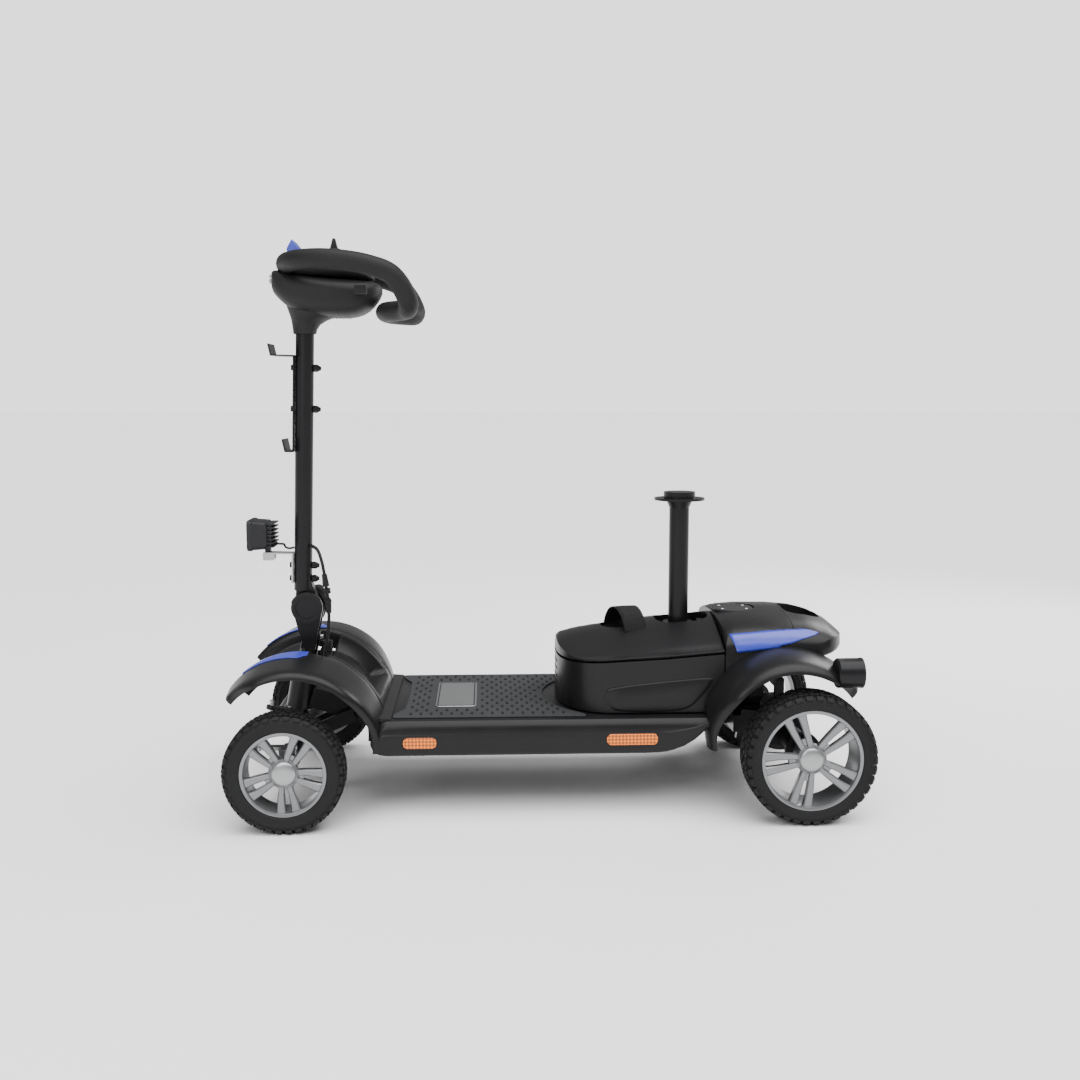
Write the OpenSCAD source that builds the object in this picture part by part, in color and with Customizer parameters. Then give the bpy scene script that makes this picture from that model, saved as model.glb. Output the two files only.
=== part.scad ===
// Four-wheeled travel mobility scooter with its seat lifted off the post.
// The front faces -X, the left side faces -Y and +Z is up. Millimetres.
// The origin is on the ground, under the centre of the bounding box.
// Shapes are drawn with X measured from the front axle, and at_axle() moves them into place.

/* [Wheels] */
// Distance between the front and rear axles
wheelbase = 868; // [800:1:1050]
// Outer diameter of a front tyre
front_tyre_d = 200; // [165:1:205]
// Width of a front tyre
front_tyre_w = 52; // [40:1:56]
// Distance between the middles of the front tyres
front_track = 478; // [470:1:580]
// Diameter of the front rims where the tyres seat
front_rim_d = 139; // [116:1:150]
// Outer diameter of a rear tyre
rear_tyre_d = 222; // [185:1:232]
// Width of a rear tyre
rear_tyre_w = 70; // [56:1:74]
// Distance between the middles of the rear tyres
rear_track = 452; // [446:1:540]
// Diameter of the rear rims where the tyres seat
rear_rim_d = 168; // [140:1:180]
// Spoke pairs in each rim
spoke_count = 5; // [5:1:7]
// Diameter of a hub cap
cap_d = 42; // [36:1:50]

/* [Floor] */
// Width of the floor over its skirts
deck_w = 364; // [300:1:370]
// Height of the floor above the ground
deck_z = 165; // [160:1:175]
// Depth of the skirts
deck_h = 60; // [50:1:66]
// Thickness of the rubber mat
mat_t = 3; // [2:0.5:4]
// Wall of the moulded covers
shell_t = 3.5; // [2.5:0.5:4]

/* [Tiller] */
// Diameter of the tiller column
column_d = 32; // [26:1:38]
// Lean of the column, in degrees
column_lean = 1.65; // [0:0.05:3]
// Lean of the steering stem, in degrees
stem_lean = 10; // [8:1:12]
// Height of the fold pivot above the ground
fold_z = 334; // [328:1:345]
// Height of the lower rim of the control head
head_z = 818; // [760:1:900]
// Diameter of the clamp knob at the fold
knob_d = 72; // [60:1:86]
// Diameter of the grip tube
grip_d = 34; // [28:1:38]

/* [Rear body] */
// Distance from the rear axle forward to the seat post
post_back = 187; // [180:1:195]
// Diameter of the seat post
post_d = 36; // [30:1:42]
// Height of the top of the seat post's spigot
post_top_z = 538; // [500:1:640]
// Diameter of the seat flange
flange_d = 91; // [80:1:100]
// Length of the battery pack
battery_l = 283; // [240:1:300]
// Width of the battery pack
battery_w = 300; // [270:1:320]
// Height of the rear cover above the ground
rear_top_z = 326; // [310:1:345]

/* [Hidden] */
$fn = 48;

// Clearances
run_gap = 0.05;
part_gap = 0.4;
pivot_gap = 1;

// Colours
black = "#18181a";
graphite = "#2b2c2f";
charcoal = "#38393c";
silver = "#b9bcc0";
steel = "#8a8d92";
blue = "#4357c4";
amber = "#e8a020";

// Wheels and origin
front_r = front_tyre_d / 2;
rear_r = rear_tyre_d / 2;
front_x = -(wheelbase + rear_r - front_r) / 2;
front_y = front_track / 2;
rear_y = rear_track / 2;
spindle_r = 8;
halfshaft_r = 9;
axle_tube_r = 20;

// Steering: the steering axis leans back and the kingpins stand upright
stem_foot_x = -36;
stem_d = column_d;
stem_top = 296;
stem_low = 134;
head_tube_r = stem_d / 2 + 8;
head_tube_low = 152;
head_tube_len = 84;
arm_l = 50;
arm_z = 123;
arm_t = 6;
pitman_h = 137;
kingpin_y = front_y - 49;
kingpin_r = 8;
boss_r = 14;
boss_h = 44;
beam_r = 15;
tie_r = 5;
tie_z = arm_z + arm_t + 1 + tie_r;
tie_pin_r = 4;
pitman_x = stem_foot_x + (pitman_h + arm_t / 2) * sin(stem_lean) - arm_l * cos(stem_lean);

// Fold joint
fold_x = 10;
tongue_half = 11.5;
cheek_in = 12;
cheek_out = 20;
cheek_r = 27;
disc_r = 28;
column_foot_z = 363;
column_foot_x = 0.6;
column_top = 850;
function column_x(z) = column_foot_x + (z - column_foot_z) * tan(column_lean);

// Control head: everything on it is placed from the head's own lower rim
head_x = column_x(head_z);
pod_z = head_z + 86;
grip_z = head_z + 124;

// Floor
deck_front = 134;
skirt_front = 134;
battery_gap = 2;
post_x = wheelbase - post_back;
socket_r = post_d / 2 + 6;
latch_x = post_x + socket_r + 16;
latch_z = deck_z - deck_h + 186;
latch_pin_r = 4;
battery_x1 = post_x + 58;
battery_x0 = battery_x1 - battery_l;
battery_z = deck_z;
battery_split_z = 262;
well_half = 42;
rear_x0 = battery_x1 + battery_gap;
deck_back = rear_x0 - 30;
panel_x = rear_x0 + 40;

// Arches: each is a band turned about an axis across the scooter
arch_x = 9;
arch_z = 122;
arch_in = 106;
arch_out = 240;
arch_r = 131;
fender_x = wheelbase - 23;
fender_z = 130;
fender_r = 124;

// Routes of the held cables, chosen by hand, from the front axle
cable_d = 6;
cable_route = [[16.6, -9.6, 445], [30, -20, 438], [38, -28, 420], [43, -33, 398], [46, -33, 374],
    [49, -33, 350], [50, -33, 326], [49, -33, 300], [45, -33, 272], [40, -33, 246]];
lead_d = 4;
lead_route = [[-32, 0, 446], [-30, 0, 442], [-26, 0, 439], [-20, 0, 438.5], [-14, 0, 440]];
grip_points = [[-28, 0, 0], [-22, 42, 3], [4, 84, 8], [52, 106, 10], [104, 118, 6], [148, 124, -8],
    [180, 124, -34], [190, 112, -66], [176, 78, -84], [150, 40, -86], [140, 0, -86]];

// ---------- helpers ----------

module at_axle() { translate([front_x, 0, 0]) children(); }

// Both sides of the scooter: the left at -Y and its mirror image
module both_sides() {
    children();
    mirror([0, 1, 0]) children();
}

// Along the steering axis, with its foot on the ground
module on_stem(h = 0) {
    translate([stem_foot_x, 0, 0]) rotate([0, stem_lean, 0]) translate([0, 0, h]) children();
}

// Along the column, at a height above the ground
module on_column(z) {
    translate([column_x(z), 0, z]) rotate([0, column_lean, 0]) children();
}

// A straight box section from one point to another in the XZ plane
module beam(a, b, wide, deep, y = 0) {
    run = norm([b[0] - a[0], b[1] - a[1]]);
    translate([a[0], y, a[1]]) rotate([0, -atan2(b[1] - a[1], b[0] - a[0]), 0])
        translate([0, -wide / 2, -deep / 2]) cube([run, wide, deep]);
}

// A cylinder along Y between two values of y
module rod_y(x, z, r, y0, y1) {
    translate([x, y0, z]) rotate([-90, 0, 0]) cylinder(r = r, h = y1 - y0);
}

// A side outline in X and Z, as thick as from y0 to y1
module side_plate(y0, y1) {
    translate([0, y1, 0]) rotate([90, 0, 0]) linear_extrude(y1 - y0) children();
}

module rounded_rect(size, r) {
    offset(r = r) offset(delta = -r) square(size, center = true);
}

function arc(cx, cy, r, a0, a1, n = 8) =
    [for (i = [0 : n]) [cx + r * cos(a0 + (a1 - a0) * i / n), cy + r * sin(a0 + (a1 - a0) * i / n)]];

function spline(a, b, c, d, t) = 0.5 * (2 * b + (c - a) * t + (2 * a - 5 * b + 4 * c - d) * t * t
    + (3 * b - a - 3 * c + d) * t * t * t);

function smooth_open(p, n) = [for (i = [0 : len(p) - 2], k = [0 : n - 1])
    spline(p[max(i - 1, 0)], p[i], p[i + 1], p[min(i + 2, len(p) - 1)], k / n), p[len(p) - 1]];

function smooth_loop(p, n) = [for (i = [0 : len(p) - 1], k = [0 : n - 1])
    spline(p[(i + len(p) - 1) % len(p)], p[i], p[(i + 1) % len(p)], p[(i + 2) % len(p)], k / n)];

function unit(v) = v / norm(v);

// A round tube along a list of points; ref is any direction the tube never runs along
module sweep(path, r, sides, ref, closed = false) {
    n = len(path);
    function run(i) = closed ? path[(i + 1) % n] - path[(i + n - 1) % n]
        : path[min(i + 1, n - 1)] - path[max(i - 1, 0)];
    rings = [for (i = [0 : n - 1]) let (t = unit(run(i)), u = unit(cross(ref, t)), v = cross(t, u))
        for (s = [0 : sides - 1]) path[i] + r * (cos(360 * s / sides) * u + sin(360 * s / sides) * v)];
    last = closed ? n - 1 : n - 2;
    skin = [for (i = [0 : last], s = [0 : sides - 1])
        let (j = (i + 1) % n, q = (s + 1) % sides)
        [i * sides + s, j * sides + s, j * sides + q, i * sides + q]];
    ends = closed ? [] : [[for (s = [0 : sides - 1]) s],
        [for (s = [0 : sides - 1]) n * sides - 1 - s]];
    polyhedron(points = rings, faces = concat(skin, ends), convexity = 6);
}

// ---------- frame and running gear ----------

module main_frame() color(black) at_axle() difference() {
    spine_z = deck_z - deck_h + 26;
    union() {
        on_stem(head_tube_low) cylinder(r = head_tube_r, h = head_tube_len);
        beam([14, 170], [150, spine_z - 4], 44, 36);
        both_sides() beam([0, 101], [92, 140], 10, 24, -30);
        beam([140, spine_z], [wheelbase - 84, spine_z], 50, 34);
        both_sides() beam([190, spine_z], [battery_x1 - 53, spine_z], 24, 28, -deck_w / 2 + 62);
        for (x = [202, (202 + battery_x0) / 2, battery_x0, battery_x1 - 65])
            translate([x - 12, -deck_w / 2 + 62, spine_z - 13]) cube([24, deck_w - 124, 26]);
        translate([post_x, 0, spine_z - 16]) cylinder(r = socket_r + 9, h = 40);
        // the rear subframe: side beams that clamp the axle, a hoop over it and two stays for the cover
        translate([wheelbase - 100, -92, spine_z - 15]) cube([24, 184, 30]);
        both_sides() beam([wheelbase - 90, spine_z], [wheelbase + 26, rear_r], 12, 54, -86);
        both_sides() translate([wheelbase - 26, -92, rear_r]) cube([16, 12, 101]);
        translate([wheelbase - 26, -92, rear_r + 85]) cube([16, 184, 16]);
        both_sides() beam([wheelbase - 18, rear_r + 90], [wheelbase - 18, rear_top_z - shell_t - 0.6], 16, 16, -60);
    }
    on_stem(head_tube_low - 1) cylinder(r = stem_d / 2 + run_gap, h = head_tube_len + 2);
    rod_y(0, 100, beam_r + part_gap, -60, 60);
    translate([post_x, 0, spine_z - 12]) cylinder(r = socket_r + part_gap, h = 60);
    rod_y(wheelbase, rear_r, axle_tube_r + part_gap, -120, 120);
}

module front_axle_beam() color(graphite) at_axle() difference() {
    union() {
        rod_y(0, 100, beam_r, -kingpin_y, kingpin_y);
        both_sides() translate([0, -kingpin_y, 100 - boss_h / 2]) cylinder(r = boss_r, h = boss_h);
    }
    both_sides() translate([0, -kingpin_y, 60]) cylinder(r = kingpin_r + run_gap, h = 80);
}

// The left knuckle: kingpin, two ears, spindle plate, spindle and steering arm
module knuckle_shape(pin_gap) {
    difference() {
        union() {
            translate([0, -kingpin_y, 68]) cylinder(r = kingpin_r, h = 64);
            for (z = [100 - boss_h / 2 - 1 - arm_t, arm_z]) {
                translate([0, -kingpin_y, z]) cylinder(r = 13, h = arm_t);
                translate([-12, -kingpin_y - 21, z]) cube([24, 21, arm_t]);
            }
            translate([-14, -kingpin_y - 22, 71]) cube([28, 6, 58]);
            rod_y(0, front_r, spindle_r + 5, -kingpin_y - 24, -kingpin_y - 18);
            rod_y(0, front_r, spindle_r, -front_y - 9, -kingpin_y - 20);
            translate([-arm_l, -kingpin_y - 8, arm_z]) cube([arm_l, 16, arm_t]);
            translate([-arm_l, -kingpin_y, arm_z]) cylinder(r = 9, h = arm_t);
        }
        translate([-arm_l, -kingpin_y, arm_z - 1]) cylinder(r = tie_pin_r + pin_gap, h = arm_t + 2);
    }
}

module left_knuckle() color(steel) at_axle() knuckle_shape(run_gap);
module right_knuckle() color(steel) at_axle() mirror([0, 1, 0]) knuckle_shape(pivot_gap);

module tie_rod() color(steel) at_axle() {
    rod_y(-arm_l, tie_z, tie_r, -kingpin_y, kingpin_y);
    both_sides() translate([-arm_l, -kingpin_y, 0]) {
        translate([0, 0, arm_z - 2]) cylinder(r = tie_pin_r, h = tie_z - arm_z + 2);
        translate([0, 0, tie_z - tie_r]) cylinder(r = 9, h = 2 * tie_r);
    }
    translate([pitman_x, -8, tie_z - tie_r]) cube([-arm_l - pitman_x, 16, arm_t]);
    translate([pitman_x, 0, tie_z - tie_r]) cylinder(r = 8, h = arm_t);
    translate([pitman_x, 0, tie_z - tie_r]) cylinder(r = tie_pin_r, h = 30);
}

// A tyre with a crowned tread and square shoulders, its middle at the origin, its axis along Y
module tyre(r, w, rim_r) {
    shoulder = 9;
    wall = w / 2;
    bead = w / 2 - 5;
    rotate([90, 0, 0]) rotate_extrude($fn = 96) polygon(concat(
        [[rim_r + 0.2, -bead], [rim_r + 0.2, bead]],
        [[rim_r + 7, wall - 1], [(rim_r + r) / 2, wall]],
        arc(r - shoulder - 1.5, wall - shoulder, shoulder, 84, 14, 5),
        [[r, 0]],
        arc(r - shoulder - 1.5, -wall + shoulder, shoulder, -14, -84, 5),
        [[(rim_r + r) / 2, -wall], [rim_r + 7, -wall + 1]]));
}

// A cast wheel: barrel, twin spokes on its outer side (-Y), hub and domed cap
module wheel(rim_r, w, bore_r, hub_back) {
    barrel = 3.5;
    lip = w / 2 - 6;
    difference() {
        union() {
            rotate([90, 0, 0]) rotate_extrude($fn = 96) polygon([[rim_r - barrel, -lip], [rim_r, -lip],
                [rim_r, lip], [rim_r - 7, lip], [rim_r - 7, lip - 4], [rim_r - barrel, lip - 8]]);
            rod_y(0, 0, cap_d / 2 + 2, -lip + 2, hub_back);
            for (i = [0 : spoke_count - 1]) rotate([0, 360 * i / spoke_count, 0])
                for (side = [-1, 1]) translate([cap_d / 2 - 1, -lip + 1, side * 9 - 4.5])
                    cube([rim_r - cap_d / 2 - barrel + 1.5, 12, 9]);
        }
        rod_y(0, 0, bore_r, -lip + 10, hub_back + 1);
    }
    translate([0, -lip + 1.6, 0]) rotate([90, 0, 0]) cylinder(r1 = cap_d / 2, r2 = cap_d / 2 - 4, h = 4);
}

module front_left_tyre() color(black) at_axle() translate([0, -front_y, front_r])
    tyre(front_r, front_tyre_w, front_rim_d / 2);
module front_right_tyre() color(black) at_axle() translate([0, front_y, front_r])
    tyre(front_r, front_tyre_w, front_rim_d / 2);
module front_left_wheel() color(silver) at_axle() translate([0, -front_y, front_r])
    wheel(front_rim_d / 2, front_tyre_w, spindle_r + run_gap, 20);
module front_right_wheel() color(silver) at_axle() mirror([0, 1, 0]) translate([0, -front_y, front_r])
    wheel(front_rim_d / 2, front_tyre_w, spindle_r + run_gap, 20);
module rear_left_tyre() color(black) at_axle() translate([wheelbase, -rear_y, rear_r])
    tyre(rear_r, rear_tyre_w, rear_rim_d / 2);
module rear_right_tyre() color(black) at_axle() translate([wheelbase, rear_y, rear_r])
    tyre(rear_r, rear_tyre_w, rear_rim_d / 2);
// The rear wheels carry their half shafts
module rear_wheel_shape() translate([wheelbase, -rear_y, rear_r]) {
    wheel(rear_rim_d / 2, rear_tyre_w, 0.5, 30);
    rod_y(0, 0, halfshaft_r, 29, rear_y - 20);
}
module rear_left_wheel() color(silver) at_axle() rear_wheel_shape();
module rear_right_wheel() color(silver) at_axle() mirror([0, 1, 0]) rear_wheel_shape();

module transaxle() color(graphite) at_axle() difference() {
    union() {
        both_sides() rod_y(wheelbase, rear_r, axle_tube_r, -rear_y + 34, 0);
        rod_y(wheelbase, rear_r, 46, -34, 34);
        both_sides() rod_y(wheelbase, rear_r, 30, -rear_y + 34, -rear_y + 44);
        translate([wheelbase - 74, -26, rear_r - 6]) cube([60, 52, 42]);
    }
    rod_y(wheelbase, rear_r, halfshaft_r + run_gap, -rear_y, rear_y);
}

// The motor lies over the gear housing, with its parking brake in front
module drive_motor() color(charcoal) at_axle() translate([wheelbase - 96, 0, rear_r + 76]) {
    rotate([0, 90, 0]) cylinder(r = 36, h = 62);
    rotate([0, 90, 0]) translate([0, 0, -24]) cylinder(r = 30, h = 24);
    translate([24, -20, -39.6]) cube([36, 40, 20]);
}

module motor_controller() color(silver) at_axle()
    translate([wheelbase - 124, 42, deck_z - deck_h + 41.4]) {
        cube([62, 37, 24]);
        for (i = [0 : 1]) translate([0, 2 + i * 15, 24]) cube([62, 6, 6]);
    }

// The lever that frees the wheels from the motor, on the left of the gear housing
module freewheel_lever() color(black) at_axle() translate([wheelbase + 36, -34.4, rear_r + 20]) {
    rod_y(0, 0, 6, -22, 0);
    translate([-5, -22, 0]) cube([10, 8, 40]);
    translate([0, -24, 40]) rotate([-90, 0, 0]) cylinder(r = 9, h = 12);
}

module seat_socket() color(black) at_axle() difference() {
    union() {
        translate([post_x, 0, deck_z - deck_h + 15]) cylinder(r = socket_r, h = 180);
        translate([post_x, 0, deck_z - deck_h + 178]) cylinder(r = socket_r + 4, h = 17);
        translate([post_x + socket_r - 2, -7, latch_z - 7]) cube([18, 14, 11]);
        rod_y(latch_x, latch_z, 7, -7, 7);
    }
    translate([post_x, 0, deck_z - deck_h + 21]) cylinder(r = post_d / 2 + run_gap, h = 200);
    rod_y(latch_x, latch_z, latch_pin_r + run_gap, -8, 8);
}

module seat_post() color(black) at_axle() {
    base = deck_z - deck_h + 40;
    flange_z = post_top_z - 15;
    translate([post_x, 0, base]) cylinder(r = post_d / 2, h = flange_z - base);
    translate([post_x, 0, flange_z - 14]) cylinder(r1 = post_d / 2, r2 = post_d / 2 + 6, h = 14);
    difference() {
        translate([post_x, 0, flange_z]) cylinder(r = flange_d / 2, h = 4);
        for (a = [45 : 90 : 315]) translate([post_x, 0, flange_z - 1]) rotate([0, 0, a])
            translate([flange_d / 2 - 9, 0, 0]) cylinder(r = 3.2, h = 6);
    }
    translate([post_x, 0, flange_z + 4]) cylinder(r = 28.5, h = post_top_z - flange_z - 4);
}

// A forked lever on the lug behind the socket, lifted by its back edge
module seat_latch() color(charcoal) at_axle() translate([latch_x, 0, latch_z]) {
    rod_y(0, 0, latch_pin_r, -12, 12);
    both_sides() translate([-4, -12, -4]) cube([8, 4.6, 13]);
    translate([-5, -12, 8]) cube([14, 24, 4]);
}

// ---------- floor ----------

// The floor seen from the side, from the front skirt back to the seam with the rear arches
module deck_side(inset) {
    top = deck_z - inset;
    low = deck_z - deck_h + (inset > 0 ? -10 : 0);
    x0 = skirt_front + inset;
    x1 = deck_back - inset;
    nose_r = deck_h - 31;
    polygon(concat([[x0 + 20, top], [x0, top - 30]],
        inset > 0 ? [[x0, low]] : arc(x0 + 1 + nose_r, low + nose_r, nose_r, 180, 268, 6),
        [[x1 - 80, low]],
        inset > 0 ? [[x1, low]] : [[x1 - 44, low + 8], [x1 - 16, low + 26], [x1, low + 46]],
        [[x1 - 4, top]]));
}

module deck_shell() color(black) at_axle() difference() {
    union() {
        difference() {
            side_plate(-deck_w / 2, deck_w / 2) deck_side(0);
            side_plate(-deck_w / 2 + shell_t + 8, deck_w / 2 - shell_t - 8) deck_side(shell_t);
        }
    }
    // the bevel along each upper edge
    both_sides() translate([0, -deck_w / 2, deck_z]) rotate([45, 0, 0])
        translate([-10, -8, -8]) cube([wheelbase, 16, 16]);
    // hollow behind each skirt
    both_sides() translate([skirt_front + 24, -deck_w / 2 + shell_t, deck_z - deck_h - 2])
        cube([deck_back - skirt_front - 110, 10, deck_h - 12]);
    translate([post_x, 0, 0]) cylinder(r = socket_r + 2, h = 300);
    // openings for the spine through the front and rear walls
    translate([deck_back - 40, -30, deck_z - deck_h - 20]) cube([60, 60, 72]);
    translate([skirt_front - 10, -26, deck_z - deck_h - 5]) cube([40, 52, 60]);
}

mat_x0 = 178;
module mat_outline() {
    nose = 12;
    half = deck_w / 2 - 22;
    x1 = battery_x0 + 44;
    arc_r = 190;
    difference() {
        offset(r = 6) offset(delta = -6)
            polygon([[mat_x0 - 8, half], [mat_x0 - 8, half - 18], [mat_x0 + nose, half - 52],
                [mat_x0 + nose, -half + 52], [mat_x0 - 8, -half + 18], [mat_x0 - 8, -half], [x1, -half], [x1, half]]);
        translate([battery_x0 + arc_r - 24, 0]) circle(r = arc_r, $fn = 96);
    }
}

module floor_mat() color(charcoal) at_axle() difference() {
    translate([0, 0, deck_z]) linear_extrude(mat_t) mat_outline();
    translate([badge_x, 0, deck_z + mat_t - 1]) linear_extrude(3) rounded_rect([72.6, 183.6], 8);
}

badge_x = 278;
module floor_badge() color(silver) at_axle()
    translate([badge_x, 0, deck_z + mat_t - 1]) linear_extrude(1.8) rounded_rect([72, 183], 8);

// Four long amber reflectors, two in each skirt
module side_reflectors() color(amber) at_axle()
    for (at = [[216, 56], [deck_back - 132, 86]], side = [-1, 1])
        translate([at[0], side * (deck_w / 2 + 1), deck_z - 36]) rotate([90, 0, 0])
            linear_extrude(2, center = true) rounded_rect([at[1], 18], 8.9);

// ---------- front shroud ----------

// One side's wheel arch: a turned band, from its front tip round to the floor's seam
module arch_band(x, z, r, y_in, y_out, a0, a1, rise, lip) {
    translate([x, 0, z]) rotate([90, 0, 0]) rotate([0, 0, a0]) rotate_extrude(angle = a1 - a0, $fn = 120)
        polygon([[r, y_out], [r + lip, y_out], [r + lip + rise * 0.6, (y_in + y_out) / 2 + 20],
            [r + lip + rise, y_in], [r + lip + rise - shell_t, y_in],
            [r + lip + rise * 0.6 - shell_t, (y_in + y_out) / 2 + 20],
            [r + lip - shell_t, y_out - shell_t], [r, y_out - shell_t]]);
}

module front_shroud() color(black) at_axle() difference() {
    union() {
        both_sides() arch_band(arch_x, arch_z, arch_r, arch_in, arch_out, 20, 139, 6, 12);
        // the lowered tunnel between the arches, behind the stem
        translate([arch_x, 0, arch_z]) rotate([90, 0, 0]) rotate([0, 0, 20])
            rotate_extrude(angle = 66, $fn = 120) translate([arch_r - 14, -arch_in - 4])
                square([shell_t, 2 * arch_in + 8]);
        // walls between the tunnel and the arches
        both_sides() translate([arch_x, 0, arch_z]) rotate([90, 0, 0]) rotate([0, 0, 20])
            rotate_extrude(angle = 119, $fn = 120) translate([arch_r - 14, arch_in])
                square([32, shell_t]);
        // the ramp behind the arches, down to the floor
        side_plate(-deck_w / 2 + 6, deck_w / 2 - 6) polygon([[132, deck_z + 9], [150, deck_z + 3],
            [156, deck_z + 3], [156, deck_z + 0.3], [128, deck_z + 0.3]]);
    }
    on_stem(150) cylinder(r = 62, h = 200);
}

module shroud_panel() color(charcoal) at_axle() difference() {
    translate([arch_x, 0, arch_z]) rotate([90, 0, 0]) rotate([0, 0, 86.5])
        rotate_extrude(angle = 52, $fn = 120) translate([arch_r - 10, -arch_in + 0.5])
            square([shell_t, 2 * arch_in - 1]);
    on_stem(150) cylinder(r = 48, h = 200);
}

// A blue blade let into the crown of each front arch
module front_trims() color(blue) at_axle() both_sides()
    translate([arch_x, 0, arch_z]) rotate([90, 0, 0]) rotate([0, 0, 86])
        rotate_extrude(angle = 50, $fn = 120)
            polygon([[arch_r + 19, arch_in + 2], [arch_r + 19, arch_in + 26], [arch_r + 17, arch_in + 48],
                [arch_r + 18.2, arch_in + 49], [arch_r + 20.6, arch_in + 26], [arch_r + 20.6, arch_in + 2]]);

// ---------- rear body ----------

// Plan of the rear cover: full width at the seam, drawn in to a round tail
module rear_plan(inset) {
    half = battery_w / 2 - inset;
    x0 = rear_x0 + (inset > 0 ? -20 : 0);
    tail = wheelbase + 98 - inset;
    polygon(concat([[x0, -half], [wheelbase - 10, -half + 1]], arc(tail - 90, -half + 92, 90, -50, 0, 6),
        arc(tail - 90, half - 92, 90, 0, 50, 6), [[wheelbase - 10, half - 1], [x0, half]]));
}

module rear_side(inset) {
    top = rear_top_z - inset;
    x0 = rear_x0 + (inset > 0 ? -20 : 0);
    tail = wheelbase + 100;
    low = deck_z + 42 + (inset > 0 ? -20 : 0);
    polygon([[x0, low], [x0, top - 2], [wheelbase - 60, top + 2], [wheelbase + 10, top], [tail - 28, top - 12],
        [tail, top - 34], [tail, top - 54], [tail - 44, top - 62 + inset], [wheelbase - 10, top - 70 + inset],
        [wheelbase - 90, top - 84 + inset], [rear_x0 + 20, low]]);
}

module handle_hole() {
    translate([wheelbase + 33, 0, rear_top_z - 100]) linear_extrude(160) rounded_rect([64, 110], 26);
}

module rear_cover() color(black) at_axle() difference() {
    intersection() {
        difference() {
            side_plate(-battery_w, battery_w) rear_side(0);
            intersection() {
                side_plate(-battery_w, battery_w) rear_side(shell_t);
                translate([0, 0, -50]) linear_extrude(500) rear_plan(shell_t);
                translate([rear_x0 - 30, -300, 0]) cube([wheelbase - rear_x0 + 22, 600, 600]);
            }
        }
        linear_extrude(500) rear_plan(0);
    }
    handle_hole();
    translate([wheelbase - 4, -300, rear_top_z - 30]) cube([300, 600, 100]);
    translate([panel_x, 0, rear_top_z - 10]) linear_extrude(40) rounded_rect([74, 74], 30);
}

// The tail of the cover, with the carrying hole through it
module rear_handle() color(black) at_axle() difference() {
    intersection() {
        side_plate(-battery_w, battery_w) rear_side(0);
        linear_extrude(500) rear_plan(0);
        translate([wheelbase - 4 + part_gap, -300, rear_top_z - 30 + part_gap]) cube([300, 600, 100]);
    }
    handle_hole();
}

module rear_top_panel() color(charcoal) at_axle()
    translate([panel_x, 0, rear_top_z - 5]) {
        linear_extrude(4) rounded_rect([73, 73], 29.5);
        for (x = [-22, 22], y = [-18, 18]) translate([x, y, 3.9]) cylinder(r = 3, h = 1.6);
    }

// A blue blade on each side of the rear cover, above the belt
module rear_trims() color(blue) at_axle() both_sides() intersection() {
    side_plate(-battery_w, 0) translate([rear_x0, rear_top_z])
        polygon([[8, -20], [141, -14], [163, -22], [20, -54]]);
    linear_extrude(500) difference() {
        rear_plan(-1.7);
        rear_plan(-0.3);
    }
}

// A cylinder along X for each tail lamp
module tail_lamp_space(r, x0, x1) {
    translate([wheelbase + x0, -rear_y + 4, deck_z + 86]) rotate([0, 90, 0]) cylinder(r = r, h = x1 - x0);
}

module rear_fenders() color(black) at_axle() both_sides() difference() {
    union() {
        arch_band(fender_x, fender_z, fender_r, battery_w / 2 + part_gap, rear_y + 18, 34, 165, 0, 26);
        // a gusset from the fender up to the tail of the cover
        side_plate(-battery_w / 2 - 4, -battery_w / 2 + 16) polygon([[wheelbase + 20, rear_top_z - 40],
            [wheelbase + 36, rear_top_z - 40], [wheelbase + 62, rear_top_z - 70], [wheelbase + 40, rear_top_z - 66]]);
    }
    tail_lamp_space(25 + part_gap, 30, 100);
    linear_extrude(500) rear_plan(-part_gap);
}

module tail_lamps() color(black) at_axle() both_sides() tail_lamp_space(25, 44, 88);

module tail_lenses() color("#a01818") at_axle() both_sides() tail_lamp_space(21, 88.2, 91.2);

// Plan of the battery pack: a blunt round nose, straight sides and a square back
module battery_plan(inset) {
    half = battery_w / 2 - inset;
    x0 = battery_x0 + inset;
    x1 = battery_x1 - inset;
    difference() {
        polygon(concat([[x1, half]], arc(x0 + 112, half - 84, 84, 90, 150, 6), [[x0, 30]], [[x0, -30]],
            arc(x0 + 112, -half + 84, 84, 210, 270, 6), [[x1, -half]]));
        translate([post_x + 4, 0]) offset(r = inset) rounded_rect([96, 2 * well_half], 30);
    }
}

module battery_case() color(black) at_axle() difference() {
    translate([0, 0, battery_z + 0.3]) linear_extrude(battery_split_z - battery_z - 0.5) battery_plan(0);
    translate([0, 0, battery_z + shell_t]) linear_extrude(200) battery_plan(shell_t);
}

// One slice across the crown of the lid: highest in the middle, drawn in at the sides
module crown_slice(x, top) {
    half = battery_w / 2;
    translate([x, 0, 0]) rotate([90, 0, 90]) linear_extrude(0.5) polygon([[-half, 240], [-half, top - 46],
        [-half + 10, top - 38], [-105, top - 27], [-60, top - 14], [0, top], [60, top - 14], [105, top - 27],
        [half - 10, top - 38], [half, top - 46], [half, 240]]);
}

module crown(lift = 0) translate([0, 0, lift]) hull() {
    crown_slice(battery_x0, rear_top_z - 51);
    crown_slice(battery_x0 + 12, rear_top_z - 45);
    crown_slice(battery_x0 + 140, rear_top_z - 24);
    crown_slice(battery_x1 - 0.5, rear_top_z - 9);
}

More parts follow.
